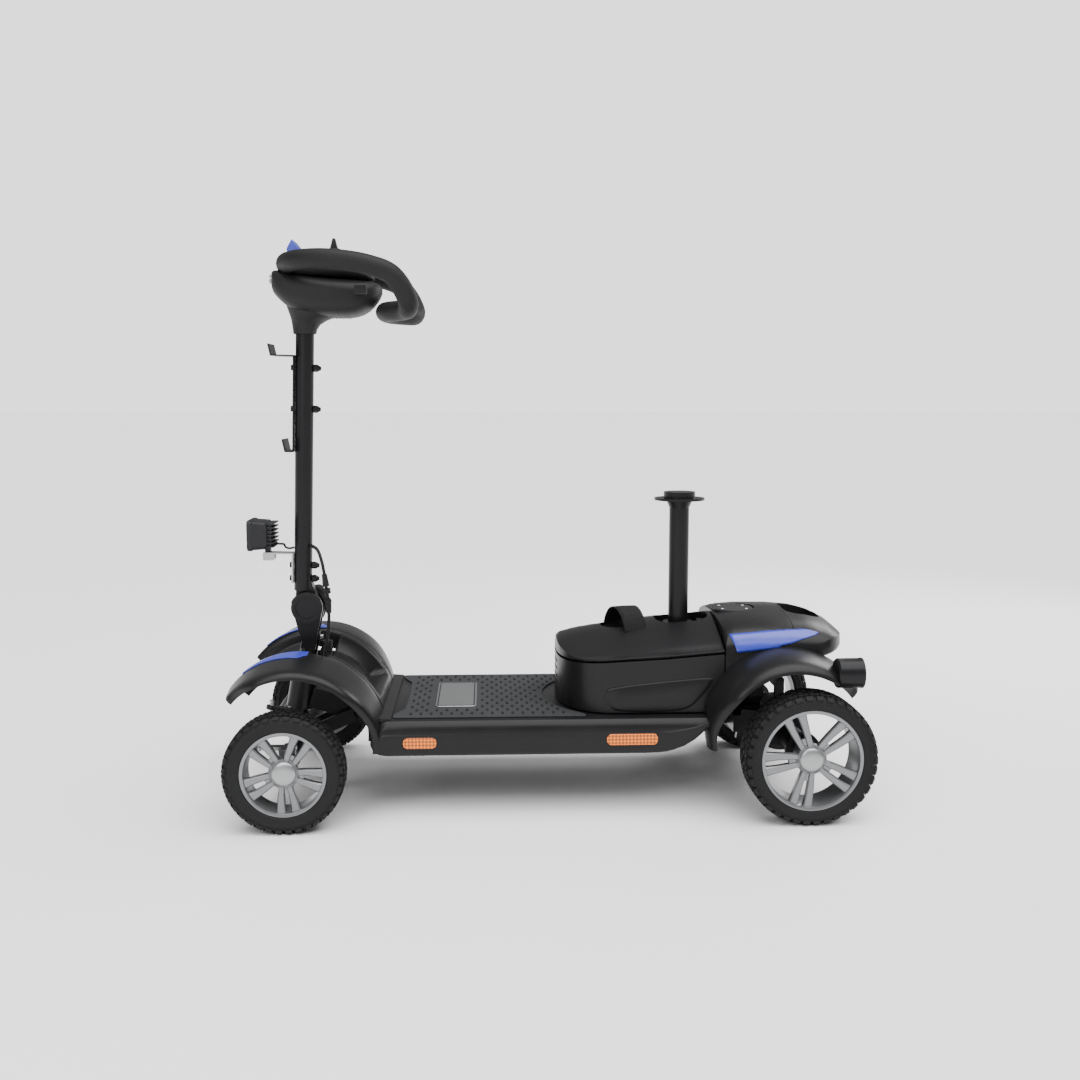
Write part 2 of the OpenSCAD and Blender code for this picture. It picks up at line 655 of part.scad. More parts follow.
recess_x = battery_x0 + 118;
module battery_lid() color(black) at_axle() difference() {
    intersection() {
        translate([0, 0, battery_split_z]) linear_extrude(90) battery_plan(0);
        crown();
    }
    translate([0, 0, battery_split_z - 1]) linear_extrude(10) battery_plan(shell_t);
    translate([recess_x, 0, battery_split_z + 22]) cylinder(r = 36, h = 60);
}

module battery_cells() color(blue) at_axle() {
    cell = 40;
    for (i = [0 : 2], side = [-1, 1])
        translate([battery_x0 + 36 + i * (cell + 4), side * 46 - 36, battery_z + shell_t + 0.4])
            cube([cell, 72, battery_split_z - battery_z - 12]);
}

// The webbing carrying strap, arched over the hand recess
strap_x = battery_x0 + 128;
strap_w = 42;
strap_r = 63;
module battery_strap() color(black) at_axle() difference() {
    translate([strap_x, 0, rear_top_z + 3 - strap_r]) rotate([0, 0, 14]) rotate([90, 0, 90])
        linear_extrude(strap_w, center = true)
            polygon(concat(arc(0, 0, strap_r, 4, 176, 18), arc(0, 0, strap_r - 1.8, 176, 4, 18)));
    crown(0.3);
}

// ---------- stem, fold and column ----------

module steering_stem() color(black) at_axle() difference() {
    union() {
        on_stem(stem_low) cylinder(r = stem_d / 2, h = stem_top - stem_low);
        on_stem(head_tube_low + head_tube_len + 0.5) cylinder(r = stem_d / 2 + 5, h = 8);
        on_stem(pitman_h) translate([-arm_l, -8, 0]) cube([arm_l - 8, 16, arm_t]);
        on_stem(pitman_h) translate([-arm_l, 0, 0]) cylinder(r = 10, h = arm_t);
        on_stem(pitman_h) cylinder(r = stem_d / 2 + 3, h = arm_t);
        both_sides() side_plate(-cheek_out, -cheek_in) hull() {
            translate([fold_x, fold_z]) circle(r = cheek_r);
            translate([stem_foot_x + (stem_top - 22) * sin(stem_lean), (stem_top - 22) * cos(stem_lean)])
                circle(r = 12);
        }
        on_stem(stem_top - 34) translate([-13, -cheek_out, 0]) cube([26, 2 * cheek_out, 22]);
    }
    on_stem(pitman_h - 1) translate([-arm_l, 0, 0]) cylinder(r = tie_pin_r + pivot_gap, h = arm_t + 2);
    rod_y(fold_x, fold_z, 6 + run_gap, -cheek_out - 1, cheek_out + 1);
    rod_y(fold_x, fold_z, 26, -cheek_in + 0.01, cheek_in - 0.01);
}

module stem_bolts() color(steel) at_axle() on_stem(stem_top - 12) {
    translate([-stem_d / 2 - 5, 0, 0]) rotate([0, 90, 0]) cylinder(r = 4.5, h = 4.6, $fn = 6);
    translate([stem_d / 2 + 0.4, 0, 0]) rotate([0, 90, 0]) cylinder(r = 4.5, h = 5, $fn = 6);
}

// A ribbed rubber boot behind the stem, where the wiring goes below
module cable_boot() color(charcoal) at_axle() translate([40.5, 0, 236]) {
    cylinder(r = 9, h = 34);
    for (i = [0 : 4]) translate([0, 0, 2 + i * 7]) cylinder(r = 11, h = 3.5);
    // its stalk and tab on the head tube
    translate([0, 0, -12]) cylinder(r = 5, h = 13);
    translate([-11.2, -4, -12]) cube([12, 8, 4]);
}

module column_tube() color(black) at_axle() difference() {
    union() {
        on_column(column_foot_z) cylinder(r = column_d / 2, h = column_top - column_foot_z);
        side_plate(-tongue_half, tongue_half) hull() {
            translate([fold_x, fold_z]) circle(r = 22);
            translate([column_foot_x, column_foot_z + 26]) square([20, 12], center = true);
        }
    }
    rod_y(fold_x, fold_z, 6 + run_gap, -40, 40);
    on_column(column_foot_z + 40) cylinder(r = column_d / 2 - 2.5, h = 600);
}

// The pivot bolt with its broad round head on the left
module fold_bolt() color(black) at_axle() {
    rod_y(fold_x, fold_z, 6, -cheek_out - 1, cheek_out + 12);
    difference() {
        rod_y(fold_x, fold_z, disc_r, -cheek_out - 7, -cheek_out - 0.4);
        rod_y(fold_x, fold_z, disc_r - 8, -cheek_out - 8, -cheek_out - 5);
    }
}

// The lobed clamp knob on the right end of the bolt
module fold_knob() color(charcoal) at_axle() difference() {
    union() {
        rod_y(fold_x, fold_z, knob_d / 2 - 6, cheek_out + 2, cheek_out + 26);
        rod_y(fold_x, fold_z, 16, cheek_out + 0.4, cheek_out + 3);
        for (i = [0 : 5]) translate([fold_x, 0, fold_z]) rotate([0, 60 * i, 0])
            rod_y(knob_d / 2 - 9, 0, 9, cheek_out + 3, cheek_out + 25);
    }
    rod_y(fold_x, fold_z, 6 + run_gap, cheek_out - 5, cheek_out + 13);
}

module hook(z, reach, lip) {
    wide = 60;
    on_column(z) translate([-column_d / 2 - 0.3, 0, 0]) {
        translate([-reach, -wide / 2, 0]) cube([reach, wide, 2.5]);
        translate([-reach + 0.1, -wide / 2, 1]) rotate([0, -14, 0]) cube([2.5, wide, lip]);
    }
}

module basket_bracket() color(black) at_axle() {
    on_column(615) translate([-column_d / 2 - 3.3, -12, -4]) cube([3, 24, 170]);
    hook(778, 40, 20);
    hook(611, 14, 22);
}

module lamp_bracket() color(silver) at_axle() {
    on_column(398) translate([-column_d / 2 - 3.3, -12, -22]) cube([3, 24, 54]);
    on_column(430) translate([-column_d / 2 - 37, -12, -2]) cube([34.5, 24, 2.5]);
    both_sides() translate([-68, -12, 418]) cube([20, 3, 14]);
}

// Two bolts each through the basket bracket and the lamp bracket, with domed nuts behind
module column_bolts() color(black) at_axle() for (z = [408, 384, 687, 759]) on_column(z) {
    translate([-column_d / 2 - 7.7, 0, 0]) rotate([0, 90, 0]) cylinder(r = 5, h = 4);
    translate([column_d / 2 + 0.3, 0, 0]) rotate([0, 90, 0]) cylinder(r = 6.5, h = 7, $fn = 6);
    translate([column_d / 2 + 7, 0, 0]) rotate([0, 90, 0]) cylinder(r1 = 6, r2 = 3, h = 6);
}

module tiller_cable() color(black) at_axle() sweep(smooth_open(cable_route, 2), cable_d / 2, 8, [0, 1, 0.01]);

// A sleeve slid over the cable: its foot, its lean, its radii and its length
module cable_sleeve(foot, lean, r1, r2, h) {
    translate(foot) rotate([0, lean, 0]) difference() {
        cylinder(r1 = r1, r2 = r2, h = h);
        translate([0, 0, -1]) cylinder(r = cable_d / 2 + 0.6, h = h + 2);
    }
}

// The plug, its nut and its socket on the tiller cable
module cable_connectors() color(graphite) at_axle() {
    cable_sleeve([46, -33, 374], -7.1, 6.2, 4.6, 22);
    cable_sleeve([47.6, -33, 361], -7.1, 7, 7, 9);
    cable_sleeve([50, -33, 326], -2.4, 4.8, 6, 24);
}

module lamp_lead() color(black) at_axle() sweep(smooth_open(lead_route, 3), lead_d / 2, 8, [0, 1, 0.01]);

// ---------- headlight ----------

module headlight_body() color(graphite) at_axle() difference() {
    union() {
        translate([-90, -34, 437]) cube([34, 68, 54]);
        for (i = [0 : 5]) translate([-56.2, -30, 441 + i * 8.5]) cube([12, 60, 4]);
        rod_y(-60, 428, 6, -8.6, 8.6);
        translate([-66, -8.6, 428]) cube([12, 17.2, 10]);
    }
    rod_y(-60, 428, 3.05, -20, 20);
    translate([-91, -29, 442]) cube([4, 58, 44]);
}

module headlight_lens() color("#e6ecf2") at_axle() translate([-90, -28.7, 442.3]) cube([2.6, 57.4, 43.4]);

// ---------- control head ----------

// An egg-shaped body on two centres: their places, and its half width and half height
module egg(x0, r0, x1, r1, drop, half, high) {
    hull() {
        translate([x0, 0, 0]) scale([r0, half, high]) sphere(r = 1, $fn = 32);
        translate([x1, 0, -drop]) scale([r1, half * 0.96, high]) sphere(r = 1, $fn = 32);
    }
}

module lens_block(gap) translate([head_x - 57 - gap, -20 - gap, pod_z - 6 - gap])
    cube([6 + gap, 40 + 2 * gap, 13 + 2 * gap]);

throttle_x = 118;
throttle_z = head_z + 71;
module console_lower() color(black) at_axle() {
    difference() {
        union() {
            on_column(head_z) rotate_extrude() polygon([[column_d / 2 + 0.3, 0], [20, 0], [22, 10],
                [27, 26], [36, 42], [36, 50], [column_d / 2 + 0.3, 50]]);
            intersection() {
                translate([head_x, 0, pod_z]) egg(-3, 51.5, 81, 55, 6, 60, 46);
                translate([-100, -100, pod_z - 60]) cube([300, 200, 68]);
            }
            translate([64, -44, head_z + 27]) cube([60, 88, 30]);
        }
        on_column(head_z - 10) cylinder(r = column_d / 2 + 0.3, h = 60);
        translate([head_x, 0, pod_z + 4]) egg(-3, 47, 81, 50, 6, 55, 38);
        translate([throttle_x - 19, -90, throttle_z - 9]) cube([38, 180, 18]);
        lens_block(0.3);
    }
    // two posts that carry the nose of the grip
    both_sides() translate([head_x - 26, -24, pod_z - 34]) cylinder(r = 8, h = 55.4);
    // the pivot post of the throttle lever
    translate([throttle_x, 0, pod_z - 36]) cylinder(r = 8, h = throttle_z - 7.4 - pod_z + 36);
}

horn_at = [head_x + 40, -34];
module console_upper() color(black) at_axle() difference() {
    intersection() {
        translate([head_x, 0, pod_z + 8]) egg(40, 46, 84, 42, 4, 57, 45);
        translate([-100, -100, pod_z + 8.4]) cube([300, 200, 60]);
    }
    translate([horn_at[0], horn_at[1], pod_z + 34]) cylinder(r = 7.4, h = 30);
    translate([head_x, 0, pod_z + 4]) egg(42, 42, 82, 38, 4, 52, 38);
}

// The blue peak in front of the display
module console_hood() color(blue) at_axle() side_plate(-30, 30)
    polygon([[head_x - 23.7, pod_z + 60], [head_x - 15.2, pod_z + 75], [head_x - 3.7, pod_z + 70],
        [head_x + 18.3, pod_z + 48.4], [head_x + 8.3, pod_z + 41.4], [head_x - 4.7, pod_z + 59]]);

module front_lens() color("#f2f4f6") at_axle() lens_block(0);

module grip_loop() color(black) at_axle() {
    n = len(grip_points);
    loop = concat(grip_points, [for (i = [n - 2 : -1 : 1]) [grip_points[i][0], -grip_points[i][1], grip_points[i][2]]]);
    sweep(smooth_loop([for (p = loop) [p[0] + head_x, p[1], p[2] + grip_z]], 3), grip_d / 2, 12, [0, 0.01, 1], true);
}

// The cross lever under the back of the head
module throttle_paddle() color(charcoal) at_axle() translate([throttle_x, 0, throttle_z]) {
    cylinder(r = 7, h = 14, center = true);
    translate([-4, -74, -5]) cube([8, 148, 10]);
    both_sides() translate([-8, -84, -7]) cube([20, 20, 14]);
}

module speed_dial() color(charcoal) at_axle() translate([head_x + 54, 0, pod_z + 53.4]) {
    cylinder(r1 = 14, r2 = 11, h = 12);
    translate([-11, -2.5, 11.9]) cube([22, 5, 14]);
}

module horn_button() color("#b02020") at_axle()
    translate([horn_at[0], horn_at[1], pod_z + 38]) cylinder(r = 7, h = 8);

main_frame();
front_axle_beam();
deck_shell();
floor_mat();
floor_badge();
front_shroud();
shroud_panel();
front_trims();
side_reflectors();
rear_cover();
rear_top_panel();
rear_trims();
rear_handle();
rear_fenders();
tail_lamps();
tail_lenses();
transaxle();
drive_motor();
motor_controller();
seat_socket();
freewheel_lever();
steering_stem();
stem_bolts();
cable_boot();
column_tube();
fold_bolt();
fold_knob();
basket_bracket();
lamp_bracket();
column_bolts();
tiller_cable();
cable_connectors();
lamp_lead();
headlight_body();
headlight_lens();
console_lower();
console_upper();
console_hood();
front_lens();
grip_loop();
throttle_paddle();
speed_dial();
horn_button();
left_knuckle();
right_knuckle();
tie_rod();
front_left_tyre();
front_left_wheel();
front_right_tyre();
front_right_wheel();
rear_left_tyre();
rear_left_wheel();
rear_right_tyre();
rear_right_wheel();
battery_case();
battery_lid();
battery_cells();
battery_strap();
seat_post();
seat_latch();
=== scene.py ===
"""Builds the looks of a four-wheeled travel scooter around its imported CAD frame."""

import math

import bmesh
import bpy
from mathutils import Matrix, Vector


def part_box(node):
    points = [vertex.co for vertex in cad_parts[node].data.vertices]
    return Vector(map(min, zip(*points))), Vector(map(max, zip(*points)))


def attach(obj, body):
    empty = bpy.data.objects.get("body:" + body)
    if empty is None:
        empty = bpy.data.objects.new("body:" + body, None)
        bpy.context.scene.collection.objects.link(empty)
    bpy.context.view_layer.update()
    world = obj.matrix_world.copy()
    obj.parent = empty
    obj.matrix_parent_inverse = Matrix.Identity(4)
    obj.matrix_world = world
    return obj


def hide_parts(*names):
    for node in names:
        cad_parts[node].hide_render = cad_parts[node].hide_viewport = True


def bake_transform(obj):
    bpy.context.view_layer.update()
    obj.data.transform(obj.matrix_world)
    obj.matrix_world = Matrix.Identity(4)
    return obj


bl_info = {
    "name": "Travel Scooter",
    "version": (1, 0, 0),
    "blender": (4, 5, 0),
    "location": "View3D > Sidebar > Scooter",
    "description": "Builds a travel scooter with its seat lifted off",
    "category": "Add Mesh",
}

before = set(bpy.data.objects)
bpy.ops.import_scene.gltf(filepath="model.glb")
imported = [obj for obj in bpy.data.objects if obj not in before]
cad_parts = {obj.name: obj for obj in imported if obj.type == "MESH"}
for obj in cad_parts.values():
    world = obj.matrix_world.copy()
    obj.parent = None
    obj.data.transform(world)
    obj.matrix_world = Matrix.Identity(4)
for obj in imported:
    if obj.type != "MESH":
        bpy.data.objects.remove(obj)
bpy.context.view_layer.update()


def centre_of(node):
    """The middle of a CAD node's box."""
    low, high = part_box(node)
    return (low + high) / 2


AXLE_X = centre_of("front_left_wheel").x
MM = 0.001
HALF_TURN = math.pi
TURN = 2 * math.pi
SIDES = ((-1, "left"), (1, "right"))


def at(x, y, z):
    """A point in metres from millimetres behind the front axle, off the centre line and above the ground."""
    return Vector((AXLE_X + x * MM, y * MM, z * MM))


def lerp_table(table, x):
    """The value at x of a table of (x, value) rows, straight between rows."""
    if x <= table[0][0]:
        return table[0][1]
    for (xa, a), (xb, b) in zip(table, table[1:]):
        if x <= xb:
            return a + (b - a) * (x - xa) / (xb - xa)
    return table[-1][1]


def on_arc(centre, radius, angle, y):
    """A point on a circle round a place (x, z), as seen from the side."""
    return at(centre[0] + radius * math.cos(angle), y, centre[1] + radius * math.sin(angle))


def blunt(value, power):
    """A sine or cosine made blunter, for outlines between an ellipse and a box."""
    return math.copysign(abs(value) ** (2 / power), value)


def smooth_step(t):
    """Rises smoothly from 0 to 1 as t does."""
    t = min(1.0, max(0.0, t))
    return t * t * (3 - 2 * t)


# ---------- settings ----------


class ScooterSizes(bpy.types.PropertyGroup):
    """Sizes of the details, in metres"""

    tread_depth: bpy.props.FloatProperty(
        name="Tread depth", description="Height of the tyre blocks", default=0.0032, unit="LENGTH")
    wall: bpy.props.FloatProperty(
        name="Cover wall", description="Thickness of the moulded covers", default=0.0032, unit="LENGTH")
    cable: bpy.props.FloatProperty(
        name="Cable diameter", description="Diameter of the tiller cable", default=0.006, unit="LENGTH")
    strap_thick: bpy.props.FloatProperty(
        name="Strap thickness", description="Thickness of the carrying strap", default=0.0018, unit="LENGTH")
    spokes: bpy.props.IntProperty(
        name="Spoke pairs", description="Spoke pairs in each wheel", default=5, min=3, max=9)


def colour_prop(name, text, value):
    """A colour setting."""
    return bpy.props.FloatVectorProperty(
        name=name, description=text, subtype="COLOR", size=3, min=0, max=1, default=value)


class ScooterColours(bpy.types.PropertyGroup):
    """Colours of the finishes"""

    cover: colour_prop("Covers", "Colour of the moulded covers", (0.0085, 0.0085, 0.0092))
    accent: colour_prop("Accent", "Colour of the blades on the covers", (0.028, 0.045, 0.42))
    rim: colour_prop("Rims", "Colour of the cast wheels", (0.20, 0.203, 0.21))
    mat: colour_prop("Mat", "Colour of the floor mat", (0.030, 0.031, 0.033))
    reflector: colour_prop("Reflectors", "Colour of the side reflectors", (0.86, 0.19, 0.0))
    floor: colour_prop("Floor", "Colour of the studio floor", (0.93, 0.93, 0.93))


def sizes():
    """The sizes set on the scene."""
    return bpy.context.scene.scooter_sizes


def colours():
    """The colours set on the scene."""
    return bpy.context.scene.scooter_colours


# ---------- finishes ----------


def add_node(tree, kind, **values):
    """A shader node, with the inputs named here set to plain values."""
    made = tree.nodes.new("ShaderNode" + kind)
    for key, value in values.items():
        made.inputs[key].default_value = value
    return made


def grain_group():
    """Fine moulded grain with patches of wear: gives a tone, a roughness and a normal."""
    name = "Moulded grain"
    if name in bpy.data.node_groups:
        return bpy.data.node_groups[name]
    g = bpy.data.node_groups.new(name, "ShaderNodeTree")
    for socket, default in (("Scale", 900.0), ("Depth", 0.2), ("Roughness", 0.4), ("Spread", 0.1), ("Patch", 14.0)):
        g.interface.new_socket(socket, in_out="INPUT", socket_type="NodeSocketFloat").default_value = default
    for socket, kind in (("Tone", "Float"), ("Roughness", "Float"), ("Normal", "Vector")):
        g.interface.new_socket(socket, in_out="OUTPUT", socket_type="NodeSocket" + kind)
    given, made = g.nodes.new("NodeGroupInput"), g.nodes.new("NodeGroupOutput")
    where = add_node(g, "TexCoord")
    fine, broad = add_node(g, "TexNoise", Detail=2.0), add_node(g, "TexNoise", Detail=4.0)
    bump = add_node(g, "Bump", Distance=0.0004)
    spread, centred = add_node(g, "Math"), add_node(g, "Math")
    spread.operation, centred.operation = "MULTIPLY_ADD", "SUBTRACT"
    centred.inputs[1].default_value = 0.5
    for start, end in ((where.outputs["Object"], fine.inputs["Vector"]),
                       (where.outputs["Object"], broad.inputs["Vector"]),
                       (given.outputs["Scale"], fine.inputs["Scale"]),
                       (given.outputs["Patch"], broad.inputs["Scale"]),
                       (given.outputs["Depth"], bump.inputs["Strength"]),
                       (fine.outputs[0], bump.inputs["Height"]),
                       (broad.outputs[0], centred.inputs[0]),
                       (centred.outputs[0], spread.inputs[0]),
                       (given.outputs["Spread"], spread.inputs[1]),
                       (given.outputs["Roughness"], spread.inputs[2]),
                       (broad.outputs[0], made.inputs["Tone"]),
                       (spread.outputs[0], made.inputs["Roughness"]),
                       (bump.outputs[0], made.inputs["Normal"])):
        g.links.new(start, end)
    return g


FINISHES = {}
BLACK = 0.04


def finish(name, colour, rough=0.4, metal=0.0, scale=900.0, depth=0.2, spread=0.12, coat=0.0, tone=0.25, patch=14.0):
    """A finish with grain, uneven gloss and a slight drift of colour. Black plastic is duller, with no coat."""
    m = bpy.data.materials.new(name)
    m.use_nodes = True
    link = m.node_tree.links.new
    shader = m.node_tree.nodes["Principled BSDF"]
    shader.inputs["Metallic"].default_value = metal
    black = max(colour) < BLACK
    shader.inputs["Specular IOR Level"].default_value = 0.2 if black else 0.5
    shader.inputs["Coat Weight"].default_value = 0.0 if black else coat
    shader.inputs["Coat Roughness"].default_value = 0.12
    grain = add_node(m.node_tree, "Group")
    grain.node_tree = grain_group()
    for key, value in (("Scale", scale), ("Depth", depth), ("Roughness", rough), ("Spread", spread), ("Patch", patch)):
        grain.inputs[key].default_value = value
    mix = add_node(m.node_tree, "Mix")
    mix.data_type = "RGBA"
    mix.inputs["A"].default_value = (*[c * (1 - tone) for c in colour], 1)
    mix.inputs["B"].default_value = (*[min(1.0, c * (1 + tone)) for c in colour], 1)
    link(grain.outputs["Tone"], mix.inputs["Factor"])
    link(mix.outputs["Result"], shader.inputs["Base Color"])
    link(grain.outputs["Roughness"], shader.inputs["Roughness"])
    link(grain.outputs["Normal"], shader.inputs["Normal"])
    FINISHES[name] = m
    return m


def prism_finish(name, colour, cell, rough=0.18):
    """A clear moulded lens over small bumped prisms, its cells painted alternately dark and light: painted shade and
    painted highlight of the prism facets.
    """
    m = finish(name, colour, rough, 0.0, 300.0, 0.05, 0.05, 0.15, 0.1)
    tree, link = m.node_tree, m.node_tree.links.new
    shader = tree.nodes["Principled BSDF"]
    where = add_node(tree, "TexCoord")
    turn = add_node(tree, "Mapping", Rotation=(0, math.radians(45), 0))
    # the checker paints alternate prism cells darker (painted shade, 0.35 of the colour) and lighter (painted
    # highlight, 1.1 of the colour), and also drives the bump
    painted_facet_shading = add_node(tree, "TexChecker", Scale=1.0 / cell, Color1=(*[c * 0.35 for c in colour], 1),
                     Color2=(*[min(1.0, c * 1.1) for c in colour], 1))
    bump = add_node(tree, "Bump", Strength=0.5, Distance=0.0006)
    link(where.outputs["Object"], turn.inputs["Vector"])
    link(turn.outputs["Vector"], painted_facet_shading.inputs["Vector"])
    link(painted_facet_shading.outputs["Color"], shader.inputs["Base Color"])
    link(painted_facet_shading.outputs["Fac"], bump.inputs["Height"])
    link(bump.outputs["Normal"], shader.inputs["Normal"])


def webbing_finish(name, colour):
    """Woven webbing: fine ribs across the strap, following its own map."""
    m = finish(name, colour, 0.75, 0.0, 1500.0, 0.3, 0.1, 0.0, 0.3)
    tree, link = m.node_tree, m.node_tree.links.new
    where = add_node(tree, "UVMap")
    where.uv_map = "UVMap"
    ribs = add_node(tree, "TexWave", Scale=26.0, Distortion=0.6)
    cross = add_node(tree, "TexWave", Scale=12.0)
    ribs.bands_direction, cross.bands_direction = "X", "Y"
    both = add_node(tree, "Math")
    both.operation = "MULTIPLY"
    bump = add_node(tree, "Bump", Strength=0.8, Distance=0.0006)
    for place, wave in enumerate((ribs, cross)):
        link(where.outputs["UV"], wave.inputs["Vector"])
        link(wave.outputs["Fac"], both.inputs[place])
    link(both.outputs[0], bump.inputs["Height"])
    link(bump.outputs["Normal"], tree.nodes["Principled BSDF"].inputs["Normal"])


def make_finishes():
    """Every finish of the scooter, from the colours set on the scene."""
    c = colours()
    cover, accent, rim = tuple(c.cover), tuple(c.accent), tuple(c.rim)
    finish("Satin cover", cover, 0.34, 0, 1500, 0.10, 0.10, 0.15, 0.2)
    finish("Grained cover", tuple(v * 1.3 for v in cover), 0.52, 0, 1100, 0.45, 0.12, 0, 0.2)
    finish("Panel grey", tuple(v * 2.6 for v in cover), 0.5, 0, 1200, 0.4, 0.1, 0, 0.2)
    finish("Accent blue", accent, 0.38, 0, 900, 0.08, 0.06, 0.35, 0.08)
    finish("Cast silver", rim, 0.34, 0.75, 2600, 0.12, 0.08, 0.25, 0.06, 40)
    finish("Brushed silver", (0.34, 0.345, 0.35), 0.36, 0.9, 1800, 0.15, 0.1, 0, 0.06)
    finish("Tyre rubber", (0.0105, 0.0105, 0.011), 0.72, 0, 500, 0.5, 0.16, 0, 0.35)
    finish("Mat rubber", tuple(c.mat), 0.66, 0, 800, 0.55, 0.14, 0, 0.25)
    finish("Black steel", (0.010, 0.010, 0.011), 0.30, 0.2, 2200, 0.18, 0.1, 0.3, 0.2)
    finish("Dark casting", (0.028, 0.028, 0.030), 0.5, 0.5, 600, 0.5, 0.15, 0, 0.25)
    finish("Plain steel", (0.42, 0.42, 0.43), 0.32, 0.95, 1500, 0.15, 0.12, 0, 0.1)
    finish("Soft grip", (0.0095, 0.0095, 0.0098), 0.58, 0, 420, 0.8, 0.12, 0, 0.25)
    finish("Cable jacket", (0.009, 0.009, 0.009), 0.45, 0, 700, 0.15, 0.1, 0, 0.2)
    finish("Cell wrap", (0.02, 0.06, 0.3), 0.4, 0, 500, 0.1, 0.1, 0, 0.1)
    finish("Red key", (0.35, 0.015, 0.015), 0.35, 0, 900, 0.1, 0.05, 0.3, 0.1)
    # the three prism finishes paint shade and highlight onto alternate prism cells
    prism_finish("Amber prisms", tuple(c.reflector), 0.0042, 0.42)
    prism_finish("Red prisms", (0.40, 0.012, 0.012), 0.004)
    prism_finish("Clear prisms", (0.72, 0.75, 0.78), 0.006, 0.12)
    webbing_finish("Strap webbing", (0.010, 0.010, 0.0105))


# ---------- tools for making pieces ----------


def linked(obj):
    """The object, in the scene."""
    bpy.context.scene.collection.objects.link(obj)
    return obj


def object_of(name, bm):
    """An object in the scene with the bmesh for its mesh."""
    mesh = bpy.data.meshes.new(name)
    bm.to_mesh(mesh)
    bm.free()
    return linked(bpy.data.objects.new(name, mesh))


def settle(obj, finish_name, body=None, nodes=(), angle=35):
    """Gives a piece its finish, the body it moves with and the CAD nodes it stands for."""
    obj.data.materials.clear()
    obj.data.materials.append(FINISHES[finish_name])
    obj.data.shade_smooth()
    obj.data.set_sharp_from_angle(angle=math.radians(angle))
    if body:
        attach(obj, body)
    for node in nodes:
        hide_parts(node)
    return obj


def piece(name, bm, finish_name, body=None, nodes=(), angle=35, doubles=1e-6):
    """Turns a bmesh into a finished piece on a body, standing for the CAD nodes named."""
    bmesh.ops.remove_doubles(bm, verts=bm.verts, dist=doubles)
    bmesh.ops.recalc_face_normals(bm, faces=bm.faces)
    return settle(object_of(name, bm), finish_name, body, nodes, angle)


def skin_piece(name, rows, lean, finish_name, body, nodes, angle, wall, offset=-1, mapped=None):
    """A skin through open rows of points, its faces turned so that their lean is positive, given a wall."""
    bm = bmesh.new()
    bridge(bm, [ring(bm, points, False) for points in rows])
    bmesh.ops.recalc_face_normals(bm, faces=bm.faces)
    if sum(lean(face) for face in bm.faces) < 0:
        bmesh.ops.reverse_faces(bm, faces=bm.faces)
    if mapped:
        mapped(bm)
    obj = settle(object_of(name, bm), finish_name, body, nodes, angle)
    modifier(obj, "SOLIDIFY", thickness=wall, offset=offset)
    return obj


def fresh(maker, *given):
    """A new bmesh with one shape in it."""
    bm = bmesh.new()
    maker(bm, *given)
    return bm


def modifier(obj, kind, **values):
    """A modifier of a kind, with its settings."""
    m = obj.modifiers.new(kind.title(), kind)
    for key, value in values.items():
        setattr(m, key, value)


def bevel_edges(obj, width, segments=2, angle=40):
    """Rounds the edges sharper than an angle, by a width in millimetres."""
    modifier(obj, "BEVEL", width=width * MM, segments=segments,
             limit_method="ANGLE", angle_limit=math.radians(angle), harden_normals=False)
    return obj


def baked_mesh(obj):
    """The object's mesh with its modifiers in it."""
    graph = bpy.context.evaluated_depsgraph_get()
    return bpy.data.meshes.new_from_object(obj.evaluated_get(graph))


def cutter_of(name, maker, *given):
    """A shape that is only there to be cut out of a piece."""
    return piece(name + "_cutter", fresh(maker, *given), "Satin cover")


def cut(obj, *cutters):
    """Takes the cutters out of a piece, and deletes them."""
    for each in (obj, *cutters):
        bm = bmesh.new()
        bm.from_mesh(each.data)
        bmesh.ops.triangulate(bm, faces=[f for f in bm.faces if len(f.verts) > 4])
        bmesh.ops.recalc_face_normals(bm, faces=bm.faces)
        bm.to_mesh(each.data)
        bm.free()
    for cutter in cutters:
        modifier(obj, "BOOLEAN", operation="DIFFERENCE", solver="MANIFOLD", object=cutter)
    bpy.context.view_layer.update()
    mesh = baked_mesh(obj)
    obj.modifiers.clear()
    obj.data = mesh
    for cutter in cutters:
        bpy.data.objects.remove(cutter)
    obj.data.shade_smooth()
    obj.data.set_sharp_from_angle(angle=math.radians(35))
    return obj


def ring(bm, points, closed=True):
    """A loop of edges through points."""
    verts = [bm.verts.new(p) for p in points]
    ends = verts[1:] + (verts[:1] if closed else [])
    return [bm.edges.new((a, b)) for a, b in zip(verts, ends)]


def bridge(bm, loops):
    """Joins loops of edges, one after another."""
    for a, b in zip(loops, loops[1:]):
        bmesh.ops.bridge_loops(bm, edges=a + b)


def loft(bm, rings, caps=True):
    """Bridges closed loops of points, one after another, and closes both ends."""
    loops = [ring(bm, points) for points in rings]
    bridge(bm, loops)
    if caps:
        for loop in (loops[0], loops[-1]):
            bmesh.ops.edgeloop_fill(bm, edges=loop)


def thickened(bm, points, shift):
    """A flat outline of points, carried along a shift in millimetres."""
    face = bmesh.ops.edgeloop_fill(bm, edges=ring(bm, points))["faces"]
    grown = bmesh.ops.extrude_face_region(bm, geom=face)
    bmesh.ops.translate(bm, vec=[d * MM for d in shift],
                        verts=[v for v in grown["geom"] if isinstance(v, bmesh.types.BMVert)])


def slab(bm, outline, y0, y1):
    """A side outline of (x, z) in millimetres, as thick as from y0 to y1."""
    thickened(bm, [at(x, y0, z) for x, z in outline], (0, y1 - y0, 0))


def flat(bm, outline, z0, z1):
    """A plan outline of (x, y) in millimetres, as high as from z0 to z1."""
    thickened(bm, [at(x, y, z0) for x, y in outline], (0, 0, z1 - z0))


